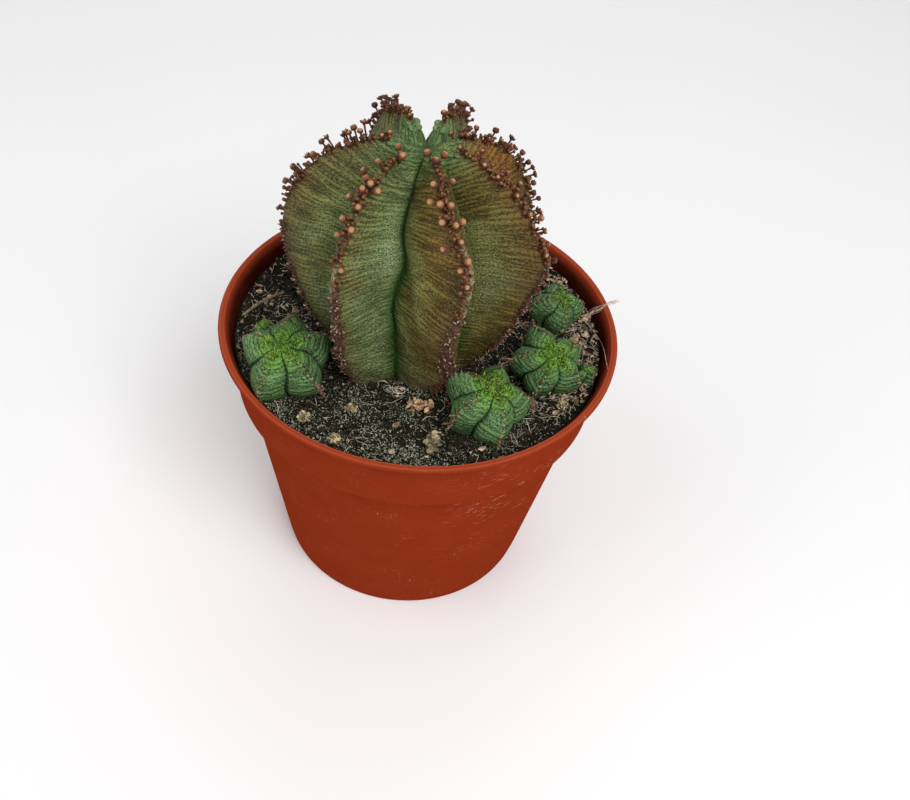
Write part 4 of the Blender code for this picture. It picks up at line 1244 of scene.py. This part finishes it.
def soil_spots(count, density):
    """Places on the soil, thinned by density(x, y) from 0 to 1."""
    found = []
    while len(found) < count:
        radius = (SOIL_RADIUS - 0.6) * np.sqrt(rng.uniform())
        angle = rng.uniform(0, 2 * pi)
        x, y = radius * cos(angle), radius * sin(angle)
        if under_stem(x, y) or rng.uniform() > density(x, y):
            continue
        found.append((x, y))
    return found


def lump(radius, roughness, scale, level):
    """An irregular round lump about the origin, radius as three half sizes."""
    shape = bmesh.new()
    bmesh.ops.create_icosphere(shape, subdivisions=level, radius=1.0)
    points = np.array([vert.co for vert in shape.verts])
    faces = [tuple(vert.index for vert in face.verts) for face in shape.faces]
    shape.free()
    wobble = 1 + roughness * noise_at(points, scale, rng.uniform(0, 90), 3)
    return points * wobble[:, None] * np.asarray(radius), faces


def spun(points, heading, tip=0.0):
    turn = np.array((Matrix.Rotation(heading, 3, "Z") @ Matrix.Rotation(tip, 3, "X")))
    return points @ turn.T


def make_crumbs(surface):
    """Crumbs of peat and bark dust that lie loose on the soil."""
    shapes = [lump((1, 1, 1), 0.55, 0.9, 1) for _ in range(12)]
    piece = Builder()
    for x, y in soil_spots(CRUMBS, lambda x, y: 1.0):
        size = rng.uniform(0.22, 0.55) if rng.uniform() < 0.8 else rng.uniform(0.6, 1.1)
        points, faces = shapes[rng.integers(len(shapes))]
        grown = points * size * rng.uniform(0.6, 1.3, 3)
        points = spun(grown, rng.uniform(0, FULL_TURN), rng.uniform(0, 3))
        spot = (x, y, soil_height(x, y) + size * 0.25)
        piece.add(points + spot, faces, tone=rng.uniform(0.35, 1.5))
    piece.build("soil_crumbs", surface, "soil")


def make_sand(surface):
    """Pale grains and splinters, thickest in front of the stem."""
    piece = Builder()
    corners = np.array([(1, 0, 0), (-1, 0, 0), (0, 1, 0), (0, -1, 0), (0, 0, 1), (0, 0, -1)], float)
    faces = [(0, 2, 4), (2, 1, 4), (1, 3, 4), (3, 0, 4), (2, 0, 5), (1, 2, 5), (3, 1, 5), (0, 3, 5)]

    def density(x, y):
        front = float(step(14.0, -34.0, y) * step(46.0, 10.0, x - 8.0))
        patch = 0.5 + noise.noise(Vector((x, y, 4.0)) / 8.0)
        wide, deep = DARK_SOIL_REACH
        bare = max(np.exp(-(((x - bx) / wide) ** 2) - ((y - by) / deep) ** 2) for bx, by in DARK_SOIL)
        return (0.06 + 0.9 * front * min(max(patch, 0.10), 1.0)) * (1 - 0.93 * bare)

    for x, y in soil_spots(SAND_GRAINS, density):
        long = rng.uniform(0.12, 0.32) if rng.uniform() < 0.8 else rng.uniform(0.3, 0.65)
        size = np.array([long, rng.uniform(0.09, 0.19), rng.uniform(0.06, 0.14)])
        points = spun(corners * size, rng.uniform(0, FULL_TURN), rng.uniform(-0.6, 0.6))
        lift = 0.25 + 0.35 * noise.noise(Vector((x, y, 0.0)) / 1.5)
        piece.add(points + (x, y, soil_height(x, y) + lift), faces, tone=rng.uniform(0.4, 1.35))
    piece.build("soil_sand", surface, "grit", smooth=False)


def make_soil_fibres(surface):
    """Fine dry roots and plant fibres strewn over the soil, thickest on the right."""
    piece = Builder()

    def density(x, y):
        left = float(step(-25.0, -40.0, x) * step(-30.0, -12.0, y))
        return 0.05 + 0.95 * float(step(20.0, 40.0, x)) + 0.22 * left

    for x, y in soil_spots(FIBRES, density):
        heading = rng.uniform(0, 2 * pi)
        length = rng.uniform(1.6, 6.0)
        path = [np.array([x, y, soil_height(x, y) + rng.uniform(0.25, 0.7)])]
        for _ in range(4):
            heading += rng.normal(0, 0.45)
            ahead = path[-1] + length / 4 * np.array([cos(heading), sin(heading), rng.normal(0, 0.16)])
            if np.hypot(ahead[0], ahead[1]) > SOIL_RADIUS - 0.5:
                break
            ahead[2] = max(ahead[2], soil_height(ahead[0], ahead[1]) + 0.2)
            path.append(ahead)
        if len(path) < 3:
            continue
        points, faces = tube(curve_through(path, 7), rng.uniform(0.045, 0.13), 5)
        piece.add(points, faces, tone=rng.uniform(0.35, 1.3))
    piece.build("soil_fibres", surface, "roots")


def make_stones(surface):
    """Each CAD grain as a clump of small angular flakes that fills its box."""
    for name in GRIT:
        middle, half = middle_and_half(name)
        piece = Builder()
        points, faces = lump((1, 1, 1), 0.5, 0.7, 3)
        points = points / np.abs(points).max(axis=0) * half * 0.8
        piece.add(points + middle - (0, 0, 0.2), faces, tone=0.3)
        for _ in range(GRIT_FLAKES):
            points, faces = lump((1, 0.65, 0.30), 0.6, 0.7, 2)
            grown = points * rng.uniform(0.18, 0.38) * half.mean()
            points = spun(grown, rng.uniform(0, FULL_TURN), rng.uniform(-1, 1))
            bearing, lift = rng.uniform(0, 2 * pi), rng.uniform(0.0, 1.0)
            wide = np.sqrt(1 - 0.8 * lift**2) * rng.uniform(0.35, 0.85)
            spot = middle + half * (wide * cos(bearing), wide * sin(bearing), 0.95 * lift - 0.15)
            piece.add(points + spot, faces, tone=rng.uniform(0.25, 1.5))
        piece.build(name + "_stone", surface, "grit", (name,), smooth=False)


def make_bark(surface):
    """Bark chips: thin, torn, overlapping flakes."""
    for name, shift in BARK_CHIPS.items():
        middle, half = middle_and_half(name)
        piece = Builder()
        for flake in range(BARK_FLAKES):
            points, faces = lump((1, 0.6, 0.13), 0.6, 0.8, 3)
            ridge = noise_at(points * (0.6, 3.0, 1.0), 0.5, 4.0 * flake, 2)
            grown = rng.uniform(0.20, 0.46) * (half[0] + half[1]) / 2
            points = points * grown + np.outer(ridge, (0, 0, 0.16))
            away = rng.normal(0, 0.38, 2)
            place = middle + np.array([*away, 0.04 * flake - 0.35]) * half
            points = spun(points, rng.uniform(0, FULL_TURN), rng.normal(0, 0.3)) + place + shift
            piece.add(points, faces, tone=rng.uniform(0.35, 1.5) + 0.3 * ridge)
        piece.build(name + "_flakes", surface, "bark", (name,))


def hair(piece, path, radius, tone, count=12):
    points, faces = tube(curve_through(path, count), radius * np.linspace(1.0, 0.45, count), 6)
    piece.add(points, faces, tone=tone)


def make_twig(surface):
    """The dry twig across the soil on the left, with knots and a side shoot."""
    low, high = corners_of("twig_left")
    start = np.array([low[0] + 0.8, low[1] + 0.8, SOIL_TOP + 1.6])
    end = np.array([high[0] - 0.8, high[1] - 0.8, SOIL_TOP + 2.2])
    path = curve_through([start, (start + end) / 2 + (-0.3, 0.6, 0.5), end], 26)
    radii = 0.40 + 0.14 * noise_at(path, 1.6, 2.0, 2) + 0.10 * np.sin(np.linspace(0, pi, 26))
    piece = Builder()
    points, faces = tube(path, radii, 10)
    piece.add(points, faces, tone=rng.uniform(0.8, 1.1))
    for share, side in ((0.3, 1.0), (0.55, -1.0), (0.78, 1.0)):
        root = path[int(share * 25)]
        hair(piece, [root, root + (0.9, 1.2 * side, 0.5), root + (2.0, 2.2 * side, 0.1)], 0.24, 0.9, 8)
    piece.build("twig_left_wood", surface, "bark", ("twig_left",))


def make_roots(surface):
    """Bundles of fine pink-white roots, where the CAD has one strand for each bundle."""
    for name, count, radius, loose, places in ROOTS:
        piece = Builder()
        for _ in range(count):
            path = [np.array(place) + rng.normal(0, loose * 0.5, 3) * (1.0, 1.0, 0.35) for place in places]
            hair(piece, path, radius * rng.uniform(0.6, 1.3), rng.uniform(0.6, 1.4), 18)
        piece.build(name + "_hairs", surface, "roots", (name,))


def make_root_curls(surface):
    """Pale looped roots that lie bare at the stem's foot."""
    piece = Builder()
    for _ in range(CURLS):
        middle = np.array(CURLS_MIDDLE) + rng.normal(0, 1.0, 3) * (2.6, 1.1, 0.15)
        size, start, sweep = rng.uniform(0.9, 2.2), rng.uniform(0, 2 * pi), rng.uniform(1.6, 4.5)
        turn = start + np.linspace(0, sweep, 6)
        loop = np.stack([np.cos(turn) * size, np.sin(turn) * size * 0.7, 0.5 * np.sin(turn * 0.5) ** 2], -1)
        hair(piece, list(middle + loop), rng.uniform(0.09, 0.16), rng.uniform(0.7, 1.3), 14)
    piece.build("root_curls", surface, "roots")


def make_chips(surface):
    """Flat flakes of bark and dry leaf, thickest on the right."""
    shapes = [lump((1, 0.62, 0.16), 0.6, 0.8, 1) for _ in range(10)]
    piece = Builder()

    def density(x, y):
        right = float(step(28.0, 44.0, x) * step(-36.0, -18.0, y))
        return 0.05 + 0.95 * right + 0.20 * float(step(-30.0, -46.0, x) * step(-14.0, 4.0, y))

    for x, y in soil_spots(CHIPS, density):
        size = rng.uniform(0.35, 0.8) if rng.uniform() < 0.75 else rng.uniform(0.8, 1.5)
        size = min(size, (SOIL_RADIUS - np.hypot(x, y)) * 0.8 + 0.2)
        points, faces = shapes[rng.integers(len(shapes))]
        points = spun(points * size, rng.uniform(0, FULL_TURN), rng.normal(0, 0.45))
        lift = soil_height(x, y) + rng.uniform(0.3, 1.1)
        piece.add(points + (x, y, lift), faces, tone=rng.uniform(0.3, 1.5))
    piece.build("soil_chips", surface, "bark", smooth=False)


# ---------------------------------------------------------------- studio


def make_studio():
    """A wide pale floor, three soft lights and an even light from all round."""
    mesh = bpy.data.meshes.new("studio_floor")
    corners = [(x * FLOOR_REACH, y * FLOOR_REACH, 0) for x, y in ((-1, -1), (1, -1), (1, 1), (-1, 1))]
    mesh.from_pydata(corners, [], [(0, 1, 2, 3)])
    mesh.materials.append(floor_surface())
    floor = add_object("studio_floor", mesh)
    for name, place, energy, size in LIGHTS:
        light = bpy.data.lights.new(name, "AREA")
        light.energy = energy
        light.size = size
        lamp = add_object(name, light)
        lamp.location = place
        aim = Vector(LIGHTS_AIM) - Vector(place)
        lamp.rotation_euler = aim.to_track_quat("-Z", "Y").to_euler()
    world = bpy.data.worlds.new("studio_world")
    world.use_nodes = True
    background = world.node_tree.nodes["Background"]
    background.inputs["Color"].default_value = (1.0, 1.0, 1.0, 1.0)
    background.inputs["Strength"].default_value = WORLD_STRENGTH
    bpy.context.scene.world = world
    bpy.context.scene.view_settings.view_transform = "Standard"


def make_camera():
    """The photo's camera: where it stands, its dip and its roll."""
    data = bpy.data.cameras.new("camera")
    data.lens = CAMERA_LENS
    data.sensor_width = SENSOR_WIDTH
    data.clip_start, data.clip_end = CAMERA_CLIP
    camera = add_object("camera", data)
    dip, roll = CAMERA_DIP, CAMERA_ROLL
    right = Vector((cos(roll), sin(roll) * sin(dip), sin(roll) * cos(dip)))
    up = Vector((-sin(roll), cos(roll) * sin(dip), cos(roll) * cos(dip)))
    back = Vector((0.0, -cos(dip), sin(dip)))
    turn = Matrix((right, up, back)).transposed().to_4x4()
    camera.matrix_world = Matrix.Translation(Vector(CAMERA_PLACE)) @ turn
    bpy.context.scene.camera = camera


def main():
    make_camera()
    make_studio()
    make_pot(pot_plastic())
    make_soil(soil_surface())
    make_crumbs(litter_surface("peat_crumbs"))
    make_sand(litter_surface("pale_sand"))
    make_soil_fibres(litter_surface("dry_fibre"))
    make_chips(litter_surface("dry_chips"))
    make_stones(litter_surface("tan_grit"))
    make_bark(litter_surface("bark_flakes"))
    make_twig(litter_surface("twig_wood"))
    make_roots(litter_surface("root_hair"))
    make_root_curls(litter_surface("bare_root"))
    stem = main_stem()
    make_main_stem(stem, skin("stem_skin", *STEM_SKIN))
    make_apex_scales(stem, litter_surface("young_segments"))
    dry = bud_surface()
    make_flowers(stem, dry)
    young = skin("offset_skin", *OFFSET_SKIN)
    tip = litter_surface("growing_tip")
    for offset in OFFSETS:
        make_offset(offset, young, tip, dry)


main()
